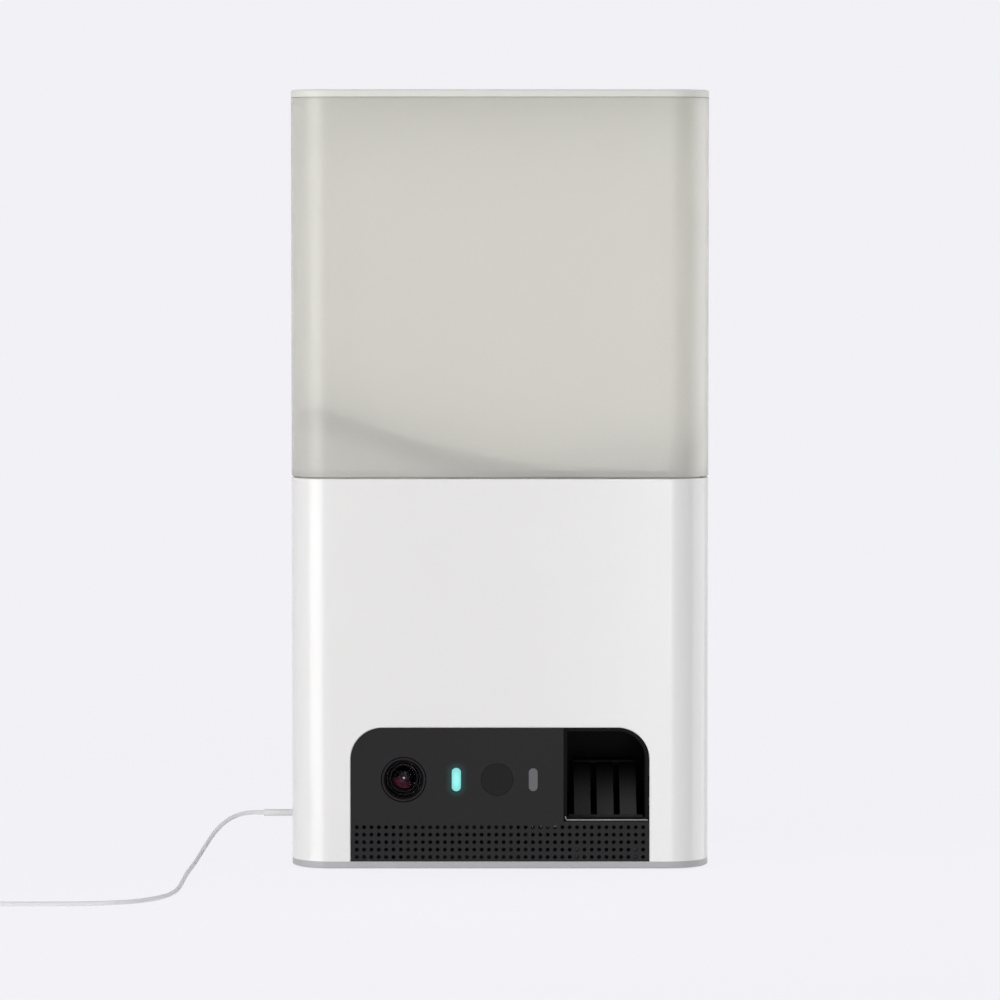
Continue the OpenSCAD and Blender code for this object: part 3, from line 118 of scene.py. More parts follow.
def bare_material(name):
    """A new material and its empty node tree."""
    made = bpy.data.materials.new(name)
    made.use_nodes = True
    made.node_tree.nodes.clear()
    return made, made.node_tree


floor_paper, tree = bare_material("seamless_paper")
matt = add(tree, "ShaderNodeBsdfDiffuse", {"Color": linear(PAPER)})
# matt paper: a flat pale tone. Round the object it takes a tenth of that tone from the lamps, so it
# keeps the object's shadow, and further off it is all its own tone, so that no edge shows against
# the paper behind. The lamps give a little less than the tone, which is made up here
SHADOW_SHARE, SHADOW_NEAR, SHADOW_FAR = 0.1, 0.12, 0.6
LAMPS_LACK = 0.05
place = add(tree, "ShaderNodeTexCoord").outputs["Object"]
away = add(tree, "ShaderNodeVectorMath", {0: place}, operation="LENGTH").outputs["Value"]
own_tone, made_up = [add(tree, "ShaderNodeMapRange", {
    "Value": away, "From Min": SHADOW_NEAR, "From Max": SHADOW_FAR, "To Min": near, "To Max": 1})
    for near in (1 - SHADOW_SHARE, 1 + LAMPS_LACK)]
even = add(tree, "ShaderNodeEmission", {"Color": linear(PAPER), "Strength": made_up.outputs[0]})
share = add(tree, "ShaderNodeMath", {0: seen_directly(tree), 1: own_tone.outputs[0]},
            operation="MULTIPLY")
shade = add(tree, "ShaderNodeMixShader", {
    0: share.outputs[0], 1: matt.outputs[0], 2: even.outputs[0]})
add(tree, "ShaderNodeOutputMaterial", {"Surface": shade.outputs[0]})
FLOOR_HALF = 8
floor_mesh = bpy.data.meshes.new("floor")
floor_mesh.from_pydata([(FLOOR_HALF * x, FLOOR_HALF * y, 0)
                        for x, y in ((-1, -1), (1, -1), (1, 1), (-1, 1))], [], [(0, 1, 2, 3)])
floor_mesh.materials.append(floor_paper)
floor = bpy.data.objects.new("floor", floor_mesh)
scene.collection.objects.link(floor)
# the tall soft boxes run on below the table, and the paper neither blocks nor mirrors them, so the
# body's shading stays the same right down to its foot, as in the photograph
floor.visible_shadow = False
floor.visible_glossy = False


def soft_box(name, azimuth, width, watts):
    """A tall soft box that faces the object; azimuth 0 is the camera's side and 90 the right."""
    lamp = bpy.data.lights.new(name, "AREA")
    lamp.shape = "RECTANGLE"
    lamp.size, lamp.size_y, lamp.energy = width, BOX_TALL, watts
    box = bpy.data.objects.new(name, lamp)
    turn = math.radians(azimuth)
    box.location = (BOX_AWAY * math.sin(turn), -BOX_AWAY * math.cos(turn), BOX_MIDDLE)
    box.rotation_euler = (math.pi / 2, 0, turn)
    box.visible_camera = False
    scene.collection.objects.link(box)


BOX_AWAY, BOX_TALL, BOX_MIDDLE = 0.8, 1.8, 0.1
soft_box("left_box", azimuth=-47, width=0.5, watts=6.1)
soft_box("front_box", azimuth=10, width=0.14, watts=2.1)
soft_box("right_box", azimuth=100, width=0.74, watts=5.1)
OVERHEAD_SIZE, OVERHEAD_WATTS, OVERHEAD_UP = 0.9, 3.6, 1.4
overhead = bpy.data.objects.new("overhead_box", bpy.data.lights.new("overhead_box", "AREA"))
overhead.data.shape = "SQUARE"
overhead.data.size, overhead.data.energy = OVERHEAD_SIZE, OVERHEAD_WATTS
overhead.location = (0, 0, OVERHEAD_UP)
overhead.visible_camera = False
scene.collection.objects.link(overhead)

# ---- Power lead ----
# A thin round USB lead with a soft pale grey vinyl jacket. It leaves the strain relief at the left,
# falls to the table and runs out of the view, where the rest of its 1.5 m is wound in a tied coil.
CORD_D = 1.5 * MM
# the lead's points in mm, the same as in the part's source
ROUTE = [(-83.5, 0, 15.7), (-88, 0, 15.7), (-92.5, -1.2, 15), (-97, -4.5, 12.9),
         (-100.6, -9, 9.6), (-103.2, -15, 6), (-105.2, -22.5, 3), (-106.6, -32, 1.2),
         (-107.4, -44, 0.8), (-107.7, -58, 0.8), (-107.8, -72, 0.8), (-108, -86, 0.8),
         (-109, -98, 0.8), (-112, -109, 0.8), (-118, -118, 0.8), (-127, -123.4, 0.8),
         (-138, -125.6, 0.8), (-150, -126, 0.8), (-162, -126, 0.8), (-174, -126, 1),
         (-188, -126, 1.2)]
STEPS_BETWEEN = 3
# the coil's turns lie a pitch apart, are drawn in this many steps each, and climb a layer in half
# a turn; then the tail runs level and sinks to the middle of the plug
COIL_LAYERS = 4
COIL_TURNS = 22.25
COIL_PITCH = CORD_D + 0.43 * MM
COIL_OUT_R = 14.4 * MM
COIL_STEPS = 30
CLIMB_TURNS = 0.5
TAIL_LEVEL, TAIL_LEN, PLUG_Z = 7 * MM, 21 * MM, 3.8 * MM


def ease(t):
    """Rises from 0 to 1 as t does, with a soft start and end."""
    u = max(0, min(1, t))
    return u * u * (3 - 2 * u)


def smooth(points, steps):
    """Points on the curve that passes through the given ones, with this many steps between two."""
    first = 2 * points[0] - points[1]
    last = 2 * points[-1] - points[-2]
    held = [first, *points, last]
    path = []
    for a, b, c, d in zip(held, held[1:], held[2:], held[3:]):
        for k in range(steps):
            t = k / steps
            path.append(b + t * (c - a) / 2 + t * t * (a - 2.5 * b + 2 * c - d / 2)
                        + t ** 3 * (1.5 * (b - c) + (d - a) / 2))
    return path + [points[-1]]


lead = smooth([Vector(p) * MM for p in ROUTE], STEPS_BETWEEN)
coil_start = lead[-1]
coil_middle = Vector((coil_start.x - CORD_D, coil_start.y + COIL_OUT_R, 0))
layer_turns = COIL_TURNS / COIL_LAYERS


def coil_point(turn):
    """The coil spirals in and out by turns and climbs by a layer at each reversal."""
    layer = min(COIL_LAYERS - 1, int(turn / layer_turns))
    wound = turn - layer * layer_turns
    inward = wound if layer % 2 == 0 else layer_turns - wound
    radius = COIL_OUT_R - COIL_PITCH * inward
    climbed = sum(ease((turn - k * layer_turns) / CLIMB_TURNS + 0.5) for k in range(1, COIL_LAYERS))
    angle = -math.pi / 2 - math.tau * turn
    return coil_middle + Vector((radius * math.cos(angle), radius * math.sin(angle),
                                 coil_start.z + COIL_PITCH * climbed))


coil = [coil_point(i / COIL_STEPS) for i in range(int(COIL_STEPS * COIL_TURNS) + 1)]
coil_top = coil_start.z + (COIL_LAYERS - 1) * COIL_PITCH
TAIL_STEPS = 16
tail = []
for i in range(1, TAIL_STEPS + 1):
    along = TAIL_LEN * i / TAIL_STEPS
    sunk = ease((along - TAIL_LEVEL) / (TAIL_LEN - TAIL_LEVEL - CORD_D))
    tail.append(Vector((coil_middle.x - COIL_OUT_R, coil_middle.y + along,
                        coil_top + (PLUG_Z - coil_top) * sunk)))
cord_points = lead + coil + tail


def round_wire(name, points, radius):
    """A curve object that draws a round lead or wire along these points."""
    curve = bpy.data.curves.new(name, "CURVE")
    curve.dimensions = "3D"
    curve.bevel_depth = radius
    curve.bevel_resolution = 3
    curve.use_fill_caps = True
    spline = curve.splines.new("POLY")
    spline.points.add(len(points) - 1)
    for point, place in zip(spline.points, points):
        point.co = (*place, 1)
    made = bpy.data.objects.new(name, curve)
    scene.collection.objects.link(made)
    return made


power_cord = round_wire("power_cord", cord_points, CORD_D / 2)


def moulded(name, colour, roughness, grain_mm, depth_mm, drift=0.04, shade_to=0.94, drift_mm=35,
            **sockets):
    """A moulded plastic or rubber: its own colour all through, a mould's grain of this width and
    depth, and a slow drift of gloss where the melt flowed. Other shader inputs are given by name,
    with _ for a space."""
    material, tree = bare_material(name)
    place = add(tree, "ShaderNodeTexCoord").outputs["Object"]
    grain = add(tree, "ShaderNodeTexNoise", {"Vector": place, "Scale": 1000 / grain_mm, "Detail": 2,
                                             "Roughness": 0.6})
    flow = add(tree, "ShaderNodeTexNoise", {"Vector": place, "Scale": 1000 / drift_mm, "Detail": 1})
    gloss = add(tree, "ShaderNodeMapRange", {
        "Value": flow.outputs["Fac"], "From Min": 0.3, "From Max": 0.7,
        "To Min": roughness - drift, "To Max": roughness + drift})
    full = linear(colour)
    dim = [shade_to * c for c in full[:3]] + [1]
    tone = add(tree, "ShaderNodeMix", {0: grain.outputs["Fac"], 6: dim, 7: full}, data_type="RGBA")
    bump = add(tree, "ShaderNodeBump", {"Height": grain.outputs["Fac"], "Strength": 1,
                                        "Distance": depth_mm * MM})
    plastic = add(tree, "ShaderNodeBsdfPrincipled", {
        "Base Color": tone.outputs[2], "Roughness": gloss.outputs[0], "Normal": bump.outputs[0],
        **{key.replace("_", " "): value for key, value in sockets.items()}})
    add(tree, "ShaderNodeOutputMaterial", {"Surface": plastic.outputs[0]})
    return material


# soft vinyl: a low, even sheen with a fine drag grain from the extruder
vinyl = moulded("extruded_vinyl", "e2e2e3", 0.48, 0.9, 0.01, IOR=1.5)
power_cord.data.materials.append(vinyl)

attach(power_cord, "housing")
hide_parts("cord_lead", "cord_coil")


def finish_as(material, *names):
    """Gives these CAD nodes this material."""
    for name in names:
        mesh = nodes[name].data
        mesh.materials.clear()
        mesh.materials.append(material)


CRISP_FROM = math.radians(40)


def new_piece(name, mesh, material, body, slot, *stands_for):
    """Puts a finished mesh in the scene, riding on its body. Edges that turn by more stay crisp."""
    mesh.shade_smooth()
    mesh.set_sharp_from_angle(angle=CRISP_FROM)
    mesh.materials.clear()
    mesh.materials.append(material)
    piece = bpy.data.objects.new(name, mesh)
    scene.collection.objects.link(piece)
    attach(piece, body)
    if stands_for:
        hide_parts(*stands_for)
    return piece


# ---- Strain relief ----
# A short round sleeve of the same vinyl, moulded on the lead where it leaves the housing, with a
# flange that the housing's wall traps.
finish_as(vinyl, "strain_relief")

# ---- Coil tie ----
# A strip of black woven hook tape, wrapped once round the coil's far side and pressed onto itself,
# so that the spare lead stays wound.
TIE_T, TIE_CORNER, TIE_STEPS = 0.3 * MM, 0.9 * MM, 6
low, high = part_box("coil_tie")


def round_box(y0, y1, z0, z1, r, steps):
    """Points round a box with round corners, from the middle of its top, in the (Y, Z) plane."""
    corners = ((y1 - r, z1 - r, 90), (y1 - r, z0 + r, 0), (y0 + r, z0 + r, -90),
               (y0 + r, z1 - r, -180))
    points = [((y0 + y1) / 2, z1)]
    for y, z, start in corners:
        for k in range(steps + 1):
            turn = math.radians(start - 90 * k / steps)
            points.append((y + r * math.cos(turn), z + r * math.sin(turn)))
    return points + [points[0]]


wrap = round_box(low.y, high.y, low.z, high.z, TIE_CORNER, TIE_STEPS)
inside = round_box(low.y + TIE_T, high.y - TIE_T, low.z + TIE_T, high.z - TIE_T,
                   TIE_CORNER - TIE_T, TIE_STEPS)
tie = bmesh.new()
rings = []
for outer, inner in zip(wrap[:-1], inside[:-1]):
    ring = [(low.x, *outer), (high.x, *outer), (high.x, *inner), (low.x, *inner)]
    rings.append([tie.verts.new(p) for p in ring])
for a, b in zip(rings, rings[1:] + rings[:1]):
    for k in range(4):
        tie.faces.new((a[k], a[(k + 1) % 4], b[(k + 1) % 4], b[k]))
bmesh.ops.recalc_face_normals(tie, faces=tie.faces)
tie_mesh = bpy.data.meshes.new("coil_tie_band")
tie.to_mesh(tie_mesh)

# black yarn: a dull crossed weave, whose raised threads are painted a little paler as a painted
# highlight
woven, tree = bare_material("woven_hook_tape")
place = add(tree, "ShaderNodeTexCoord").outputs["Object"]
THREAD = 0.45 * MM
warp, weft = [add(tree, "ShaderNodeTexWave", {"Vector": place, "Scale": 1 / THREAD / math.tau * 2},
                  bands_direction=direction) for direction in ("X", "DIAGONAL")]
cloth = add(tree, "ShaderNodeMath", {0: warp.outputs["Fac"], 1: weft.outputs["Fac"]},
            operation="MULTIPLY")
bump = add(tree, "ShaderNodeBump", {
    "Height": cloth.outputs[0], "Strength": 1, "Distance": 0.08 * MM})
# painted highlight: the raised threads are paler
tone = add(tree, "ShaderNodeMix", {0: cloth.outputs[0], 6: linear("1c1c1d"), 7: linear("3c3c3e")},
           data_type="RGBA")
yarn = add(tree, "ShaderNodeBsdfPrincipled", {"Base Color": tone.outputs[2], "Roughness": 0.85,
                                              "Normal": bump.outputs[0], "Sheen Weight": 0.3})
add(tree, "ShaderNodeOutputMaterial", {"Surface": yarn.outputs[0]})
new_piece("coil_tie_band", tie_mesh, woven, "housing", "tie_fabric", "coil_tie")

# ---- USB plug ----
# A standard plug. Its vinyl grip is moulded over the lead's end and flows out of it in a ribbed
# neck, and its shell is folded from nickel plated steel sheet.


def worked(name, colour, roughness, line_mm, stretch, depth_mm, drift=0.06):
    """A metal with the fine lines that drawing, turning or rolling leave, of this width and depth.
    Stretch is how much longer than wide the lines are along X, Y and Z."""
    material, tree = bare_material(name)
    place = add(tree, "ShaderNodeTexCoord").outputs["Object"]
    drawn = add(tree, "ShaderNodeMapping", {"Vector": place, "Scale": [1 / s for s in stretch]})
    lines = add(tree, "ShaderNodeTexNoise", {
        "Vector": drawn.outputs[0], "Scale": 1000 / line_mm, "Detail": 3})
    gloss = add(tree, "ShaderNodeMapRange", {
        "Value": lines.outputs["Fac"], "From Min": 0.3, "From Max": 0.7,
        "To Min": roughness - drift, "To Max": roughness + drift})
    bump = add(tree, "ShaderNodeBump", {"Height": lines.outputs["Fac"], "Strength": 1,
                                        "Distance": depth_mm * MM})
    full = linear(colour)
    dim = [0.86 * c for c in full[:3]] + [1]
    tone = add(tree, "ShaderNodeMix", {0: lines.outputs["Fac"], 6: dim, 7: full}, data_type="RGBA")
    metal = add(tree, "ShaderNodeBsdfPrincipled", {
        "Base Color": tone.outputs[2], "Metallic": 1, "Roughness": gloss.outputs[0],
        "Normal": bump.outputs[0]})
    add(tree, "ShaderNodeOutputMaterial", {"Surface": metal.outputs[0]})
    return material


# bright plate, with the sheet's fine rolling lines along the plug
nickel = worked("nickel_plated_steel", "c9c9c6", 0.22, 0.6, (1, 8, 1), 0.004)
finish_as(nickel, "usb_plug_shell")
# the grip's vinyl has a slightly tighter satin than the lead's
overmould = moulded("moulded_vinyl_grip", "dededf", 0.42, 0.8, 0.012, IOR=1.5)
low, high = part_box("usb_plug_grip")
plug_x = (low.x + high.x) / 2
NECK_LEN, NECK_R = 9 * MM, 1.55 * MM
RIBS, RIB_R, FIRST_RIB, RIB_PITCH, GRIP_STEPS = 5, 2.15 * MM, 0.7, 1.5, 8
grip_half, grip_thick = (high.x - low.x) / 2, (high.z - low.z) / 2
grip_start = low.y + NECK_LEN
# each section is its place along Y, half its width, half its height and its corners' radius
sections = [(low.y, 1.1 * MM, 1.1 * MM, 1.1 * MM), (low.y + 0.2 * MM, NECK_R, NECK_R, NECK_R)]
for k in range(RIBS):
    start = low.y + (FIRST_RIB + RIB_PITCH * k) * MM
    for along, r in ((0, NECK_R), (0.15 * MM, RIB_R), (0.65 * MM, RIB_R), (0.8 * MM, NECK_R)):
        sections.append((start + along, r, r, r))
sections += [(grip_start - 0.5 * MM, NECK_R, NECK_R, NECK_R),
             (grip_start, 3.2 * MM, 2.2 * MM, 2 * MM),
             (grip_start + 0.7 * MM, 5.2 * MM, 2.9 * MM, 2.4 * MM),
             (grip_start + 2.4 * MM, 6.9 * MM, 3.5 * MM, 2.4 * MM),
             (grip_start + 4.5 * MM, grip_half, grip_thick, 2.2 * MM),
             (high.y - 5.5 * MM, grip_half - 0.5 * MM, grip_thick - 0.3 * MM, 2.2 * MM),
             (high.y - 0.5 * MM, grip_half, grip_thick, 2.2 * MM),
             (high.y, grip_half - 0.5 * MM, grip_thick - 0.5 * MM, 1.7 * MM)]
grip = bmesh.new()
rings = []
for y, half_w, half_h, r in sections:
    ring = round_box(plug_x - half_w, plug_x + half_w, PLUG_Z - half_h, PLUG_Z + half_h, r,
                     GRIP_STEPS)[1:-1]
    rings.append([grip.verts.new((x, y, z)) for x, z in ring])
for a, b in zip(rings, rings[1:]):
    for k in range(len(a)):
        grip.faces.new((a[k - 1], a[k], b[k], b[k - 1]))
grip.faces.new(rings[0])
grip.faces.new(rings[-1])
bmesh.ops.recalc_face_normals(grip, faces=grip.faces)
grip_mesh = bpy.data.meshes.new("plug_grip")
grip.to_mesh(grip_mesh)
new_piece("plug_grip", grip_mesh, overmould, "housing", "cord_jacket", "usb_plug_grip")

# ---- Housing ----
# One tall sleeve of white ABS, polished in the mould, with a deck across its top. A grey plate on
# rubber feet closes it below, and four screws hold the plate to the sleeve's posts.

# polished: soft, nearly even images of the lamps, over the long faint waves of a polished mould
gloss_white = moulded("polished_white_abs", "ecebe9", 0.22, 9, 0.004, drift=0.02, shade_to=0.995,
                      IOR=1.5, Specular_IOR_Level=1)
finish_as(gloss_white, "base_sleeve")
# fine spark eroded grain: an even satin that spreads the light
satin_grey = moulded("satin_grey_abs", "b4b4b6", 0.42, 0.6, 0.012, IOR=1.5)
finish_as(satin_grey, "base_plate")
# the same white left satin, so that it stays quiet under the container
deck_white = moulded("satin_white_abs", "e2e2e2", 0.4, 0.7, 0.012, IOR=1.5)
finish_as(deck_white, "dock_deck")
# dull and nearly black, with hardly any sheen
rubber = moulded("moulded_rubber", "232324", 0.8, 0.5, 0.02, IOR=1.5)
finish_as(rubber, "rubber_feet")
# zinc plate: pale and a little cloudy, bright on its edges
screw_steel = worked("zinc_plated_steel", "b9bbbf", 0.3, 0.4, (1, 1, 1), 0.004)


def screw(name, head_r, head_h, shank_r, length):
    """A pan head screw with a cross recess. It faces +Z, with the underside of its head at 0."""
    edge, arm, half, deep = 0.28 * head_h, 0.62 * head_r, 0.15 * head_r, 0.55 * head_h
    sides = 24
    made = bmesh.new()

    def circle(r, z):
        turns = [math.tau * k / sides for k in range(sides)]
        return [made.verts.new((r * math.cos(turn), r * math.sin(turn), z)) for turn in turns]

    def cross(shrink, z):
        points = []
        for k in range(4):
            for x, y in ((arm, -half), (arm, half), (half, half)):
                turn = math.pi / 2 * k
                points.append((shrink * (x * math.cos(turn) - y * math.sin(turn)),
                               shrink * (x * math.sin(turn) + y * math.cos(turn)), z))
        return points

    tip, root = circle(0.55 * shank_r, -length), circle(shank_r, 0.7 * shank_r - length)
    under = circle(shank_r, 0)
    wide, side = circle(head_r, 0), circle(head_r, head_h - edge)
    bevel, top = circle(head_r - 0.3 * edge, head_h - 0.3 * edge), circle(head_r - edge, head_h)
    levels = [tip, root, under, wide, side, bevel, top]
    for a, b in zip(levels, levels[1:]):
        for k in range(sides):
            made.faces.new((a[k - 1], a[k], b[k], b[k - 1]))
    made.faces.new(tip)
    mouth = [made.verts.new(p) for p in cross(1, head_h)]
    foot = [made.verts.new(p) for p in cross(0.6, head_h - deep)]
    for k in range(len(mouth)):
        made.faces.new((mouth[k - 1], mouth[k], foot[k], foot[k - 1]))
    ring = top + mouth
    for corners in tessellate_polygon([[v.co for v in top], [v.co for v in mouth]]):
        made.faces.new([ring[k] for k in corners])
    for corners in tessellate_polygon([[v.co for v in foot]]):
        made.faces.new([foot[k] for k in corners])
    bmesh.ops.recalc_face_normals(made, faces=made.faces)
    mesh = bpy.data.meshes.new(name)
    made.to_mesh(mesh)
    return mesh


def socket(group, name, kind, default=None):
    """A named input of a node group."""
    made = group.interface.new_socket(name, in_out="INPUT", socket_type="NodeSocket" + kind)
    if default is not None:
        made.default_value = default
    return made


# Geometry Nodes: one screw goes to every place, faces the same way, and is turned by chance
screws_at = bpy.data.node_groups.new("screws_at", "GeometryNodeTree")
for name, kind, default in (("Screw", "Geometry", None), ("Places", "Object", None),
                            ("Facing", "Vector", (0, 0, 1)), ("Seed", "Int", 7),
                            ("Finish", "Material", None)):
    socket(screws_at, name, kind, default)
screws_at.interface.new_socket("Screws", in_out="OUTPUT", socket_type="NodeSocketGeometry")
given = add(screws_at, "NodeGroupInput").outputs
spots = add(screws_at, "GeometryNodeObjectInfo", {"Object": given["Places"]})
spot_points = add(screws_at, "GeometryNodeMeshToPoints", {"Mesh": spots.outputs["Geometry"]})
turned = add(screws_at, "FunctionNodeRandomValue", {
    "Min": (0, 0, 0), "Max": (0, 0, math.tau), "Seed": given["Seed"]}, data_type="FLOAT_VECTOR")
as_turn = add(screws_at, "FunctionNodeEulerToRotation", {"Euler": turned.outputs["Value"]})
to_face = add(screws_at, "FunctionNodeAlignRotationToVector", {"Vector": given["Facing"]}, axis="Z")
both_turns = add(screws_at, "FunctionNodeRotateRotation", {
    0: to_face.outputs[0], 1: as_turn.outputs[0]}, rotation_space="LOCAL")
placed = add(screws_at, "GeometryNodeInstanceOnPoints", {
    "Points": spot_points.outputs[0], "Instance": given["Screw"],
    "Rotation": both_turns.outputs[0]})
real = add(screws_at, "GeometryNodeRealizeInstances", {"Geometry": placed.outputs[0]})
coated = add(screws_at, "GeometryNodeSetMaterial", {
    "Geometry": real.outputs[0], "Material": given["Finish"]})
add(screws_at, "NodeGroupOutput", {0: coated.outputs[0]})


def grown(name, group, mesh, values):
    """The plain mesh that this group makes of this one, with these values for its named inputs."""
    seed = bpy.data.objects.new(name, mesh)
    scene.collection.objects.link(seed)
    maker = seed.modifiers.new(name, "NODES")
    maker.node_group = group
    for item in group.interface.items_tree:
        if item.in_out == "INPUT" and item.name in values:
            maker[item.identifier] = values[item.name]
    ready = bpy.context.evaluated_depsgraph_get()
    made = bpy.data.meshes.new_from_object(seed.evaluated_get(ready))
    seed.modifiers.remove(maker)
    bpy.data.objects.remove(seed)
    made.name = name
    return made


def screws(name, head, spots, facing, body, cad_name):
    """Copies of a screw with the undersides of their heads at these spots, in mm."""
    points = bpy.data.meshes.new(name + "_places")
    points.from_pydata([Vector(spot) * MM for spot in spots], [], [])
    places = bpy.data.objects.new(name + "_places", points)
    scene.collection.objects.link(places)
    made = grown(name, screws_at, head, {"Places": places, "Facing": facing, "Finish": screw_steel})
    bpy.data.objects.remove(places)
    return new_piece(name, made, screw_steel, body, "steel", cad_name)


# four self-tapping screws come up through the plate into the sleeve's posts
plate_screw = screw("plate_screw", head_r=2.5 * MM, head_h=1.2 * MM, shank_r=1.25 * MM,
                    length=7.7 * MM)
screws("plate_fixings", plate_screw, [(x, y, 1.8) for x in (-64.5, 64.5) for y in (-25, 25)],
       (0, 0, -1), "housing", "base_screws")

# ---- Front window ----
# One black ABS panel with round top corners, set in the sleeve's cut-out. Its grille is a moulded
# plate with 200 countersunk holes, and the speaker's frame and paper cone sit behind it.

# a fine spark eroded grain: nearly black, with a weak and wide sheen
window_black = moulded("spark_eroded_black_abs", "161617", 0.45, 0.7, 0.014, IOR=1.45,
                       Specular_IOR_Level=0.22)
finish_as(window_black, "face_panel")
# a painted glow: the panel is given a faint cyan emission round the lit pipe, standing in for the
# pipe's light spilling into it, and it fades within a pipe's width of the pipe
PIPE_X, PIPE_Z, PIPE_R, PIPE_STRAIGHT = -15.15 * MM, 31.5 * MM, 1.55 * MM, 2.45 * MM
GLOW_REACH, GLOW_STRENGTH = 2.8 * MM, 0.06
tree = window_black.node_tree
place = add(tree, "ShaderNodeTexCoord").outputs["Object"]
apart = add(tree, "ShaderNodeVectorMath", {0: place, 1: (PIPE_X, 0, PIPE_Z)}, operation="SUBTRACT")
parts = add(tree, "ShaderNodeSeparateXYZ", {0: apart.outputs[0]}).outputs
height = add(tree, "ShaderNodeMath", {0: parts["Z"]}, operation="ABSOLUTE")
over = add(tree, "ShaderNodeMath", {0: height.outputs[0], 1: PIPE_STRAIGHT}, operation="SUBTRACT")
beyond = add(tree, "ShaderNodeMath", {0: over.outputs[0], 1: 0.0}, operation="MAXIMUM")
flat = add(tree, "ShaderNodeCombineXYZ", {"X": parts["X"], "Z": beyond.outputs[0]})
gap = add(tree, "ShaderNodeVectorMath", {0: flat.outputs[0]}, operation="LENGTH")
# painted glow: the emission falls from the pipe's rim to nothing
painted_glow = add(tree, "ShaderNodeMapRange", {
    "Value": gap.outputs["Value"], "From Min": PIPE_R, "From Max": PIPE_R + GLOW_REACH,
    "To Min": GLOW_STRENGTH, "To Max": 0}, interpolation_type="SMOOTHERSTEP")
tree.links.new(painted_glow.outputs[0], tree.nodes["Principled BSDF"].inputs["Emission Strength"])
tree.nodes["Principled BSDF"].inputs["Emission Color"].default_value = linear("3fb5b0")
HOLES_X, HOLES_Z = 40, 5
HOLE_PITCH_X, HOLE_PITCH_Z = 2.546 * MM, 2.6 * MM
HOLE_R, SINK, LOWEST_ROW = 0.62 * MM, 0.17 * MM, 4.5 * MM
TILE_SIDES = 16
low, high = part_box("speaker_grille")
first_hole = (-(HOLES_X - 1) / 2 * HOLE_PITCH_X, LOWEST_ROW)
# one hole's tile: a flat square of the front, a countersink, the bore, and the same square of the
# back
tile = bmesh.new()
square, disc = [], []
for k in range(TILE_SIDES):
    turn = math.tau * k / TILE_SIDES
    c, t = math.cos(turn), math.sin(turn)
    reach = 1 / max(abs(c), abs(t))
    square.append((reach * c * HOLE_PITCH_X / 2, reach * t * HOLE_PITCH_Z / 2))
    disc.append((c, t))
levels = [(square, 1, low.y), (disc, HOLE_R + SINK, low.y), (disc, HOLE_R, low.y + SINK),
          (disc, HOLE_R, high.y), (square, 1, high.y)]
rings = [[tile.verts.new((size * x, y, size * z)) for x, z in shape] for shape, size, y in levels]
for a, b in zip(rings, rings[1:]):
    for k in range(TILE_SIDES):
        tile.faces.new((a[k], a[k - 1], b[k - 1], b[k]))
tile_mesh = bpy.data.meshes.new("grille_tile")
tile.to_mesh(tile_mesh)

# the plain border round the holes; its inner points fall on the tiles' own
border = bmesh.new()
half_x, half_z = HOLES_X * HOLE_PITCH_X / 2, HOLES_Z * HOLE_PITCH_Z / 2
middle_z = first_hole[1] + (HOLES_Z - 1) / 2 * HOLE_PITCH_Z
part_way = math.tan(math.tau / TILE_SIDES) / 2
steps = [-0.5, -part_way, 0, part_way]
across = [(i + step) * HOLE_PITCH_X + first_hole[0] for i in range(HOLES_X) for step in steps]
upward = [(j + step) * HOLE_PITCH_Z + first_hole[1] for j in range(HOLES_Z) for step in steps]
bottom, top = middle_z - half_z, middle_z + half_z
inner = [(x, bottom, x, low.z) for x in across] + [(half_x, z, high.x, z) for z in upward]
inner += [(-x, top, -x, high.z) for x in across]
inner += [(-half_x, 2 * middle_z - z, low.x, 2 * middle_z - z) for z in upward]
in_row, in_column = len(across), len(upward)
for k, corner in ((0, (low.x, low.z)), (in_row, (high.x, low.z)),
                  (in_row + in_column, (high.x, high.z)),
                  (2 * in_row + in_column, (low.x, high.z))):
    inner[k] = (*inner[k][:2], *corner)
# round the holes in front, round the rim in front and behind, and round the holes behind
loops = [[border.verts.new((p[at], y, p[at + 1])) for p in inner]
         for at, y in ((0, low.y), (2, low.y), (2, high.y), (0, high.y))]
for a, b in zip(loops, loops[1:]):
    for k in range(len(inner)):
        border.faces.new((a[k - 1], a[k], b[k], b[k - 1]))
border_mesh = bpy.data.meshes.new("grille_border")
border.to_mesh(border_mesh)
grille_border = bpy.data.objects.new("grille_border", border_mesh)
scene.collection.objects.link(grille_border)

# Geometry Nodes: rows and columns of the tile, joined with the border and welded
perforated = bpy.data.node_groups.new("perforated_panel", "GeometryNodeTree")
for name, kind, default in (("Tile", "Geometry", None), ("Border", "Object", None),
                            ("Columns", "Int", HOLES_X), ("Rows", "Int", HOLES_Z),
                            ("Pitch X", "Float", HOLE_PITCH_X), ("Pitch Z", "Float", HOLE_PITCH_Z),
                            ("Middle", "Vector", (0, 0, 0)), ("Finish", "Material", None)):
    socket(perforated, name, kind, default)
perforated.interface.new_socket("Panel", in_out="OUTPUT", socket_type="NodeSocketGeometry")
given = add(perforated, "NodeGroupInput").outputs
spans = []
for count, pitch in (("Columns", "Pitch X"), ("Rows", "Pitch Z")):
    gaps = add(perforated, "ShaderNodeMath", {0: given[count], 1: 1.0}, operation="SUBTRACT")
    spans.append(add(perforated, "ShaderNodeMath", {0: gaps.outputs[0], 1: given[pitch]},
                     operation="MULTIPLY"))
grid = add(perforated, "GeometryNodeMeshGrid", {
    "Size X": spans[0].outputs[0], "Size Y": spans[1].outputs[0],
    "Vertices X": given["Columns"], "Vertices Y": given["Rows"]})
upright = add(perforated, "GeometryNodeTransform", {
    "Geometry": grid.outputs["Mesh"], "Translation": given["Middle"],
    "Rotation": (math.pi / 2, 0, 0)})
centres = add(perforated, "GeometryNodeMeshToPoints", {"Mesh": upright.outputs[0]})
tiles = add(perforated, "GeometryNodeInstanceOnPoints", {
    "Points": centres.outputs[0], "Instance": given["Tile"]})
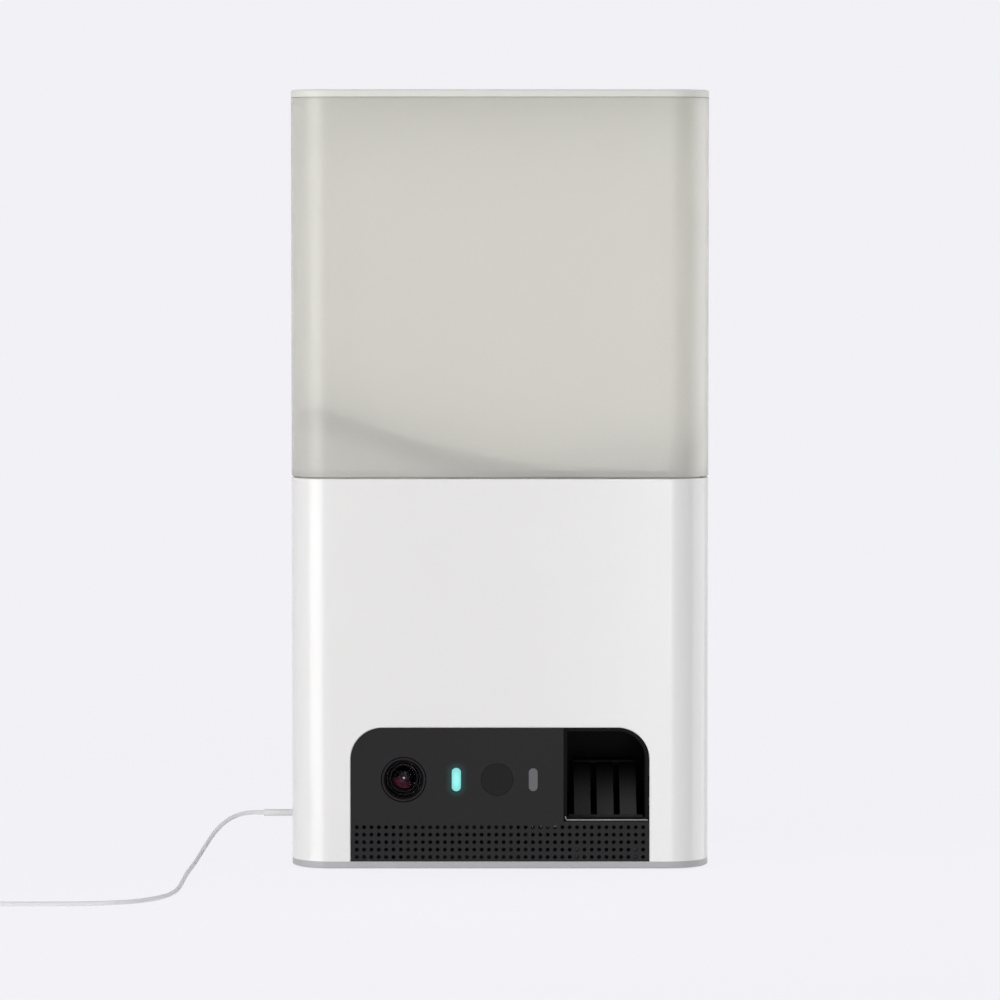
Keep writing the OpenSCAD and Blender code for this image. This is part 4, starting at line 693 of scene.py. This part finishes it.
edge_part = add(perforated, "GeometryNodeObjectInfo", {"Object": given["Border"]})
joined = add(perforated, "GeometryNodeJoinGeometry", {"Geometry": tiles.outputs[0]})
perforated.links.new(edge_part.outputs["Geometry"], joined.inputs["Geometry"])
real = add(perforated, "GeometryNodeRealizeInstances", {"Geometry": joined.outputs[0]})
WELD = 0.01 * MM
welded = add(perforated, "GeometryNodeMergeByDistance", {
    "Geometry": real.outputs[0], "Distance": WELD})
coated = add(perforated, "GeometryNodeSetMaterial", {
    "Geometry": welded.outputs[0], "Material": given["Finish"]})
add(perforated, "NodeGroupOutput", {0: coated.outputs[0]})
grille_mesh = grown("perforated_grille", perforated, tile_mesh, {
    "Border": grille_border, "Columns": HOLES_X, "Rows": HOLES_Z, "Pitch X": HOLE_PITCH_X,
    "Pitch Z": HOLE_PITCH_Z, "Middle": (0, 0, middle_z), "Finish": window_black})
bpy.data.objects.remove(grille_border)
new_piece("perforated_grille", grille_mesh, window_black, "housing", "black_plastic",
          "speaker_grille")
# rough and nearly black, so that the frame stays out of sight behind the holes
frame_black = moulded("black_frame_abs", "0c0c0d", 0.6, 0.7, 0.014, IOR=1.45,
                      Specular_IOR_Level=0.15)
finish_as(frame_black, "speaker_frame")
# dull dark fibres, with hardly any sheen
paper = moulded("coated_paper", "232325", 0.85, 0.9, 0.05, IOR=1.4)
# the cone's pressed rings follow its oval, so the pattern is squeezed along X to match
CONE_RINGS, RING_RISE = 1.1, 0.15 * MM
low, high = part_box("speaker_cone")
tree = paper.node_tree
place = add(tree, "ShaderNodeTexCoord").outputs["Object"]
oval = add(tree, "ShaderNodeMapping", {
    "Vector": place, "Location": [-(low + high)[k] / (high - low)[k] for k in range(3)],
    "Scale": [2 / (high - low)[k] for k in range(3)]})
pressed = add(tree, "ShaderNodeTexWave", {"Vector": oval.outputs[0], "Scale": CONE_RINGS},
              wave_type="RINGS", rings_direction="Y")
ridges = add(tree, "ShaderNodeBump", {
    "Height": pressed.outputs["Fac"], "Strength": 1, "Distance": RING_RISE,
    "Normal": tree.nodes["Bump"].outputs[0]})
tree.links.new(ridges.outputs[0], tree.nodes["Principled BSDF"].inputs["Normal"])
finish_as(paper, "speaker_cone")

# ---- Camera module ----
# A black anodised ring and barrel hold a domed cover glass. Behind the glass a smaller ring holds
# the coated front element of the lens, and the barrel ends at a small sensor board.

# black anodising hides the metal: nearly black, with a thin gleam along its edges
ring_black = moulded("black_anodised_ring", "070708", 0.35, 0.5, 0.006, IOR=1.5,
                     Specular_IOR_Level=0.22)
finish_as(ring_black, "lens_ring", "camera_barrel")

# green solder mask over copper tracks, which stand a little proud of the board and look paler; the
# tracks' length, pitch and gap are in mm
TRACK_LEN, TRACK_PITCH, TRACK_GAP = 5.5, 1.3, 0.16
board_green, tree = bare_material("solder_mask_over_copper")
place = add(tree, "ShaderNodeTexCoord").outputs["Object"]
flat = add(tree, "ShaderNodeMapping", {
    "Vector": place, "Rotation": (math.pi / 2, 0, 0), "Scale": (1000, 1000, 1000)})
tracks = add(tree, "ShaderNodeTexBrick", {
    "Vector": flat.outputs[0], "Color1": (1, 1, 1, 1), "Color2": (1, 1, 1, 1),
    "Mortar": (0, 0, 0, 1), "Scale": 1.0, "Mortar Size": TRACK_GAP, "Mortar Smooth": 0.3,
    "Brick Width": TRACK_LEN, "Row Height": TRACK_PITCH}, offset=0.37)
fibres = add(tree, "ShaderNodeTexNoise", {"Vector": place, "Scale": 1000 / 0.6, "Detail": 2})
tone = add(tree, "ShaderNodeMix", {
    0: tracks.outputs["Fac"], 6: linear("14492d"), 7: linear("2b7d52")}, data_type="RGBA")
gloss = add(tree, "ShaderNodeMapRange", {
    "Value": fibres.outputs["Fac"], "To Min": 0.25, "To Max": 0.45})
raised = add(tree, "ShaderNodeBump", {
    "Height": tracks.outputs["Fac"], "Strength": 1, "Distance": 0.035 * MM})
rough = add(tree, "ShaderNodeBump", {
    "Height": fibres.outputs["Fac"], "Strength": 1, "Distance": 0.01 * MM,
    "Normal": raised.outputs[0]})
mask = add(tree, "ShaderNodeBsdfPrincipled", {
    "Base Color": tone.outputs[2], "Roughness": gloss.outputs[0], "Normal": rough.outputs[0],
    "IOR": 1.55})
add(tree, "ShaderNodeOutputMaterial", {"Surface": mask.outputs[0]})
finish_as(board_green, "sensor_board", "light_board", "main_board")


def clear(name, colour, ior, roughness, through, wear_mm, depth_mm):
    """Glass or a coated face: smooth, with the faint smears of roughness that wiping leaves."""
    material, tree = bare_material(name)
    place = add(tree, "ShaderNodeTexCoord").outputs["Object"]
    smears = add(tree, "ShaderNodeTexNoise", {
        "Vector": place, "Scale": 1000 / wear_mm, "Detail": 2})
    gloss = add(tree, "ShaderNodeMapRange", {
        "Value": smears.outputs["Fac"], "To Min": 0.5 * roughness, "To Max": 1.5 * roughness})
    bump = add(tree, "ShaderNodeBump", {
        "Height": smears.outputs["Fac"], "Strength": 1, "Distance": depth_mm * MM})
    shader = add(tree, "ShaderNodeBsdfPrincipled", {
        "Base Color": linear(colour), "Roughness": gloss.outputs[0], "IOR": ior,
        "Transmission Weight": through, "Normal": bump.outputs[0]})
    add(tree, "ShaderNodeOutputMaterial", {"Surface": shader.outputs[0]})
    return material


def turned_piece(name, profile, centre, steps=56):
    """A mesh turned about an axis along Y. The profile runs round the section as (radius, place
    along Y), and a point on the axis is a pole."""
    made = bmesh.new()
    rings = []
    for radius, y in profile:
        turns = [math.tau * k / steps for k in range(steps if radius > 0 else 1)]
        rings.append([made.verts.new((centre[0] + radius * math.cos(turn), y,
                                      centre[1] + radius * math.sin(turn))) for turn in turns])
    for a, b in zip(rings, rings[1:] + rings[:1]):
        for k in range(steps):
            if len(a) == steps and len(b) == steps:
                made.faces.new((a[k - 1], a[k], b[k], b[k - 1]))
            elif len(b) == steps:
                made.faces.new((a[0], b[k], b[k - 1]))
            elif len(a) == steps:
                made.faces.new((a[k - 1], a[k], b[0]))
    bmesh.ops.recalc_face_normals(made, faces=made.faces)
    mesh = bpy.data.meshes.new(name)
    made.to_mesh(mesh)
    return mesh


LENS_AT = (-33.4 * MM, 31.5 * MM)


def domed(front, rim_r, dome_r, back, rings=12):
    """The profile of a disc with a domed front, from the front's middle to the back's."""
    points = [(0, front)]
    for k in range(1, rings + 1):
        tilt = math.asin(rim_r / dome_r) * k / rings
        points.append((dome_r * math.sin(tilt), front + dome_r * (1 - math.cos(tilt))))
    return points + [(rim_r, back), (0, back)]


# the cover glass is clear, and its coating takes away nearly all of its glare, so its IOR is set
# below glass's
cover_glass = clear("coated_cover_glass", "e9dfe6", ior=1.06, roughness=0.002, through=1, wear_mm=4,
                    depth_mm=0.0003)
cover_profile = domed(front=-35.92 * MM, rim_r=6.3 * MM, dome_r=27 * MM, back=-33.3 * MM)
cover = new_piece("cover_glass", turned_piece("cover_glass", cover_profile, LENS_AT), cover_glass,
                  "housing", "dark_glass", "lens_glass")
# it casts no shadow, because the light that glass lets through reaches what is behind it
cover.visible_shadow = False

# behind it: the first element of the lens, in a turned black ring. Its dark coating is painted with
# a red glint towards the table, with fine painted ring reflections round a painted highlight at its
# middle. Places on it are in mm
glint_coating = clear("lens_coating_painted_glints", "0a0709", ior=1.3, roughness=0.2, through=0, wear_mm=2,
             depth_mm=0.0003)
tree = glint_coating.node_tree
place = add(tree, "ShaderNodeTexCoord").outputs["Object"]
apart = add(tree, "ShaderNodeVectorMath", {0: place, 1: (LENS_AT[0], 0, LENS_AT[1])},
            operation="SUBTRACT")
on_face = add(tree, "ShaderNodeVectorMath", {0: apart.outputs[0], 1: (1000, 0, 1000)},
              operation="MULTIPLY")
out_from = add(tree, "ShaderNodeVectorMath", {0: on_face.outputs[0]}, operation="LENGTH")
downward = add(tree, "ShaderNodeVectorMath", {0: on_face.outputs[0], 1: (-0.4, 0, -0.9)},
               operation="DOT_PRODUCT")
# painted reflection: a red glint on the side towards the table
glint_side = add(tree, "ShaderNodeMapRange", {
    "Value": downward.outputs["Value"], "From Min": -0.2, "From Max": 2.8},
    interpolation_type="SMOOTHSTEP")
red = add(tree, "ShaderNodeMix", {0: glint_side.outputs[0], 6: linear("050405"), 7: linear("4a2430")},
          data_type="RGBA")
# painted reflection: fine bright rings near the middle, on the glint's side
circles = add(tree, "ShaderNodeMath", {0: out_from.outputs["Value"], 1: 7.0}, operation="MULTIPLY")
crest = add(tree, "ShaderNodeMath", {0: circles.outputs[0]}, operation="SINE")
fine = add(tree, "ShaderNodeMapRange", {
    "Value": crest.outputs[0], "From Min": 0.75, "From Max": 1})
near = add(tree, "ShaderNodeMapRange", {
    "Value": out_from.outputs["Value"], "From Min": 1.5, "From Max": 2, "To Min": 0.6, "To Max": 0})
both = add(tree, "ShaderNodeMath", {0: fine.outputs[0], 1: near.outputs[0]}, operation="MULTIPLY")
ring_glints = add(tree, "ShaderNodeMath", {0: both.outputs[0], 1: glint_side.outputs[0]},
             operation="MULTIPLY")
drawn = add(tree, "ShaderNodeMix", {0: ring_glints.outputs[0], 6: red.outputs[2], 7: linear("a87f8a")},
            data_type="RGBA")
# painted highlight: a pale point at the middle
point = add(tree, "ShaderNodeMapRange", {
    "Value": out_from.outputs["Value"], "From Min": 0.2, "From Max": 0.5, "To Min": 0.9,
    "To Max": 0})
with_centre_highlight = add(tree, "ShaderNodeMix", {
    0: point.outputs[0], 6: drawn.outputs[2], 7: linear("d8ccd0")}, data_type="RGBA")
tree.links.new(with_centre_highlight.outputs[2], tree.nodes["Principled BSDF"].inputs["Base Color"])
element = domed(front=-31.1 * MM, rim_r=3.9 * MM, dome_r=5.2 * MM, back=-29.3 * MM)
new_piece("lens_element", turned_piece("lens_element", element, LENS_AT), glint_coating, "housing",
          "dark_glass")
RING_IN, RING_OUT, RING_Y = 4.2 * MM, 4.9 * MM, -31.2 * MM
stepped = [(RING_IN, RING_Y + 0.5 * MM), (RING_IN, RING_Y + 0.3 * MM),
           (RING_IN + 0.25 * MM, RING_Y), (RING_OUT, RING_Y), (RING_OUT, RING_Y + 0.5 * MM)]
new_piece("lens_retainer", turned_piece("lens_retainer", stepped, LENS_AT), ring_black, "housing",
          "dark_plastic")

# ---- Lights ----
# Two short acrylic light pipes end flush in the panel, one lit cyan and one unlit. Beside them a
# round window of black filter plastic lets infrared light through.

# the lit pipe is brightest over its light and falls off a little towards its rim
PIPE_SQUEEZE = 0.38
lit = moulded("lit_light_pipe", "1d4a49", 0.35, 0.6, 0.008, IOR=1.49,
              Emission_Color=linear("93f4ef"))
tree = lit.node_tree
place = add(tree, "ShaderNodeTexCoord").outputs["Object"]
apart = add(tree, "ShaderNodeVectorMath", {0: place, 1: (PIPE_X, 0, PIPE_Z)}, operation="SUBTRACT")
narrow = add(tree, "ShaderNodeVectorMath", {
    0: apart.outputs[0], 1: (1 / PIPE_R, 0, PIPE_SQUEEZE / PIPE_R)}, operation="MULTIPLY")
out_from = add(tree, "ShaderNodeVectorMath", {0: narrow.outputs[0]}, operation="LENGTH")
fall = add(tree, "ShaderNodeMapRange", {
    "Value": out_from.outputs["Value"], "From Min": 0.3, "To Min": 0.95, "To Max": 0.72},
    interpolation_type="SMOOTHSTEP")
tree.links.new(fall.outputs[0], tree.nodes["Principled BSDF"].inputs["Emission Strength"])
finish_as(lit, "status_light_pipe")
# the same acrylic without its light: a smooth mid grey
unlit = moulded("unlit_light_pipe", "5a5a5b", 0.35, 0.6, 0.008, IOR=1.49)
finish_as(unlit, "second_light_pipe")
# a filter that looks black to the eye, smoother than the panel round it
filter_black = moulded("infrared_filter", "0a0a0b", 0.35, 0.8, 0.006, IOR=1.49,
                       Specular_IOR_Level=0.16)
finish_as(filter_black, "ir_window")

# ---- Electronics ----
# Two glass fibre boards: a main one on posts behind the works, with its soldered parts, and a small
# one behind the lights. Steel screws hold both.

# epoxy cases and tinned cans, seen as one dull dark grey
chip_black = moulded("epoxy_and_tin", "4a4b4d", 0.4, 0.6, 0.01, IOR=1.55)
finish_as(chip_black, "board_parts")
# small screws hold the light board to the panel, and larger ones the main board to posts on the
# back wall
light_screw = screw("light_screw", head_r=1.6 * MM, head_h=1 * MM, shank_r=0.9 * MM,
                    length=4.1 * MM)
screws("light_board_fixings", light_screw, [(-8.07, -28.5, 35.7), (5.25, -28.5, 27.3)],
       (0, 1, 0), "housing", "board_screws")
board_screw = screw("board_screw", head_r=2.2 * MM, head_h=1.3 * MM, shank_r=1.2 * MM,
                    length=4.8 * MM)
screws("main_board_fixings", board_screw, [(x, 28.3, z) for x in (-46, 2) for z in (18, 76)],
       (0, -1, 0), "housing", "board_screws")

# ---- Launcher ----
# A motor turns a part-toothed winder, which cocks a fingered nylon paddle against a wire spring and
# lets it go inside a black moulded chute. The gears are acetal, on ground steel pins.


def wire_mesh(name, points, radius):
    """A round wire along these points, as a mesh."""
    bent = round_wire(name, points, radius)
    ready = bpy.context.evaluated_depsgraph_get()
    mesh = bpy.data.meshes.new_from_object(bent.evaluated_get(ready))
    bpy.data.objects.remove(bent)
    return mesh


# a coarse grain that swallows the light, so that the chute looks deep
chute_black = moulded("chute_black_abs", "0a0a0b", 0.55, 0.8, 0.02, IOR=1.45,
                      Specular_IOR_Level=0.1)
finish_as(chute_black, "launch_chute")
# dark grey nylon with a soft sheen. The fingers lean back into the dark of the chute, so painted
# shade darkens them to black towards their tips, and their sheen is faded out there too
SHADE_FROM, SHADE_TO = 21 * MM, 36 * MM
paddle_black = moulded("paddle_black_nylon", "3c3c3d", 0.45, 0.8, 0.02, IOR=1.5)
tree = paddle_black.node_tree
place = add(tree, "ShaderNodeTexCoord").outputs["Object"]
up = add(tree, "ShaderNodeSeparateXYZ", {0: place}).outputs["Z"]
tipward = add(tree, "ShaderNodeMapRange", {"Value": up, "From Min": SHADE_FROM, "From Max": SHADE_TO},
              interpolation_type="SMOOTHSTEP")
# painted shade: the colour darkens from grey to black towards the tips
painted_tip_shade = add(tree, "ShaderNodeMix", {
    0: tipward.outputs[0], 6: linear("424243"), 7: linear("040405")}, data_type="RGBA")
tree.links.new(painted_tip_shade.outputs[2], tree.nodes["Principled BSDF"].inputs["Base Color"])
# painted shade on the sheen: the specular level falls towards the tips
gleam = add(tree, "ShaderNodeMapRange", {
    "Value": up, "From Min": SHADE_FROM, "From Max": SHADE_TO, "To Min": 0.5, "To Max": 0.02})
tree.links.new(gleam.outputs[0], tree.nodes["Principled BSDF"].inputs["Specular IOR Level"])
finish_as(paddle_black, "launch_paddle", "spring_collar")

# a thin pale grey tube runs along the chute's lower lip and turns up at its left end; it is a
# painted highlight, standing in for the bright line of light on the lip's edge
HIGHLIGHT_R, HIGHLIGHT_Z, HIGHLIGHT_Y = 0.2 * MM, 17.3 * MM, -35 * MM
left, right, turn_r = 22.7 * MM, 51.2 * MM, 0.9 * MM
BEND_STEPS = 8
lip_line = [(left, HIGHLIGHT_Y, HIGHLIGHT_Z + 1.5 * turn_r)]
for k in range(BEND_STEPS + 1):
    turn = math.pi + math.pi / 2 * k / BEND_STEPS
    lip_line.append((left + turn_r * (1 + math.cos(turn)), HIGHLIGHT_Y,
                     HIGHLIGHT_Z + turn_r * (1 + math.sin(turn))))
lip_line.append((right, HIGHLIGHT_Y, HIGHLIGHT_Z))
# pale grey, so that it draws the one thin bright line of the painted highlight
lip_highlight_grey = moulded("painted_lip_highlight", "c4c4c6", 0.3, 0.8, 0.004, IOR=1.5)
new_piece("chute_lip_bead", wire_mesh("chute_lip_bead", lip_line, HIGHLIGHT_R), lip_highlight_grey, "housing",
          "black_plastic")
# undyed acetal: a warm waxy white, smooth from the mould
acetal = moulded("natural_acetal", "ecebe6", 0.35, 1.1, 0.01, IOR=1.48)
finish_as(acetal, "paddle_gear", "winder_gear", "throw_pinion", "rotor_gear", "portion_pinion")
# ground pins: bright, with a very fine grain
ground_steel = worked("ground_steel", "b8b9bb", 0.2, 0.3, (1, 1, 1), 0.003)
finish_as(ground_steel, "paddle_shaft", "winder_pin", "rotor_shaft")
# drawn wire, a little duller than the pins
spring_steel = worked("spring_steel_wire", "a9a9a6", 0.25, 0.3, (1, 1, 1), 0.004)
WIRE_D, SPRING_R, LEG_UP = 0.9 * MM, 2.9 * MM, 5.35 * MM
SPRING_PITCH, SPRING_TURNS, SPRING_STEPS = 1.1 * MM, 3.5, 24
spring_from = Vector((14.85, -25, 14)) * MM
wire = [spring_from + Vector((0, -SPRING_R, LEG_UP * k / 3)) for k in (3, 2, 1)]
for k in range(int(SPRING_TURNS * SPRING_STEPS) + 1):
    turn = math.pi + math.tau * k / SPRING_STEPS
    wire.append(spring_from + Vector((SPRING_PITCH * k / SPRING_STEPS, SPRING_R * math.cos(turn),
                                      SPRING_R * math.sin(turn))))
wire += [wire[-1] + Vector((0, 0, LEG_UP * k / 3)) for k in (1, 2, 3)]
new_piece("torsion_spring", wire_mesh("torsion_spring", wire, WIRE_D / 2), spring_steel, "paddle",
          "steel", "throw_spring")
# drawn cans: satin, with faint level lines
motor_can = worked("drawn_steel_can", "a4a5a8", 0.32, 0.5, (6, 6, 1), 0.006)
finish_as(motor_can, "throw_motor", "portion_motor")
# textured mid grey, which hides finger marks
cover_grey = moulded("gear_cover_abs", "55565a", 0.45, 0.7, 0.014, IOR=1.45)
finish_as(cover_grey, "gear_cover")
cover_screw = screw("cover_screw", head_r=2 * MM, head_h=1.2 * MM, shank_r=1 * MM, length=6 * MM)
screws("cover_fixings", cover_screw,
       [(60.9, -27, 29.5), (60.9, 14.7, 14), (60.9, -7.5, 46.25)], (1, 0, 0), "housing",
       "cover_screws")

# ---- Portion wheel ----
# A vaned wheel turns in a drum between two plates and drops one portion at a time down a funnel.
# Drum, plates and funnel are white ABS, and the wheel is a softer grey plastic.

# satin white from a lightly textured mould
drum_white = moulded("drum_white_abs", "dcdcda", 0.45, 0.7, 0.014, IOR=1.5)
finish_as(drum_white, "drum_shell", "drum_front_plate", "drum_back_plate", "drop_funnel")
# softer plastic: a duller cool grey
vane_grey = moulded("soft_grey_rotor", "b3b6ba", 0.55, 0.7, 0.014, IOR=1.45)
finish_as(vane_grey, "portion_rotor")

# ---- Container ----
# A tall frosted polycarbonate jar stands on the deck, and a polypropylene ramp in its foot leads
# the treats to the drum. A pale grey ABS lid closes it, with a silicone seal round its skirt.

# frosted: shapes close behind the wall show as soft tones, and the outside keeps a veiled gloss
FROST_MM, FROST_DEPTH = 0.8, 0.008 * MM
frosted, tree = bare_material("frosted_polycarbonate")
place = add(tree, "ShaderNodeTexCoord").outputs["Object"]
frost = add(tree, "ShaderNodeTexNoise", {"Vector": place, "Scale": 1000 / FROST_MM, "Detail": 2})
bump = add(tree, "ShaderNodeBump", {
    "Height": frost.outputs["Fac"], "Strength": 1, "Distance": FROST_DEPTH})
milk = add(tree, "ShaderNodeBsdfPrincipled", {
    "Base Color": linear("f3f2eb"), "Roughness": 0.48, "IOR": 1.45, "Transmission Weight": 0.7,
    "Coat Weight": 0.7, "Coat Roughness": 0.25, "Normal": bump.outputs[0]})
add(tree, "ShaderNodeOutputMaterial", {"Surface": milk.outputs[0]})
finish_as(frosted, "treat_container")
# waxy warm grey, seen only as a soft shade through the jar
ramp_grey = moulded("hopper_polypropylene", "a5a29d", 0.5, 0.8, 0.012, IOR=1.49)
finish_as(ramp_grey, "hopper_ramp")
# satin pale grey: the top spreads the light evenly
lid_grey = moulded("satin_pale_grey_abs", "e6e6e0", 0.42, 0.6, 0.012, IOR=1.5)
finish_as(lid_grey, "container_lid")
# milky rubber with a faint skin sheen
silicone = moulded("moulded_silicone", "dcdcd6", 0.6, 0.5, 0.01, IOR=1.41)
finish_as(silicone, "lid_seal")
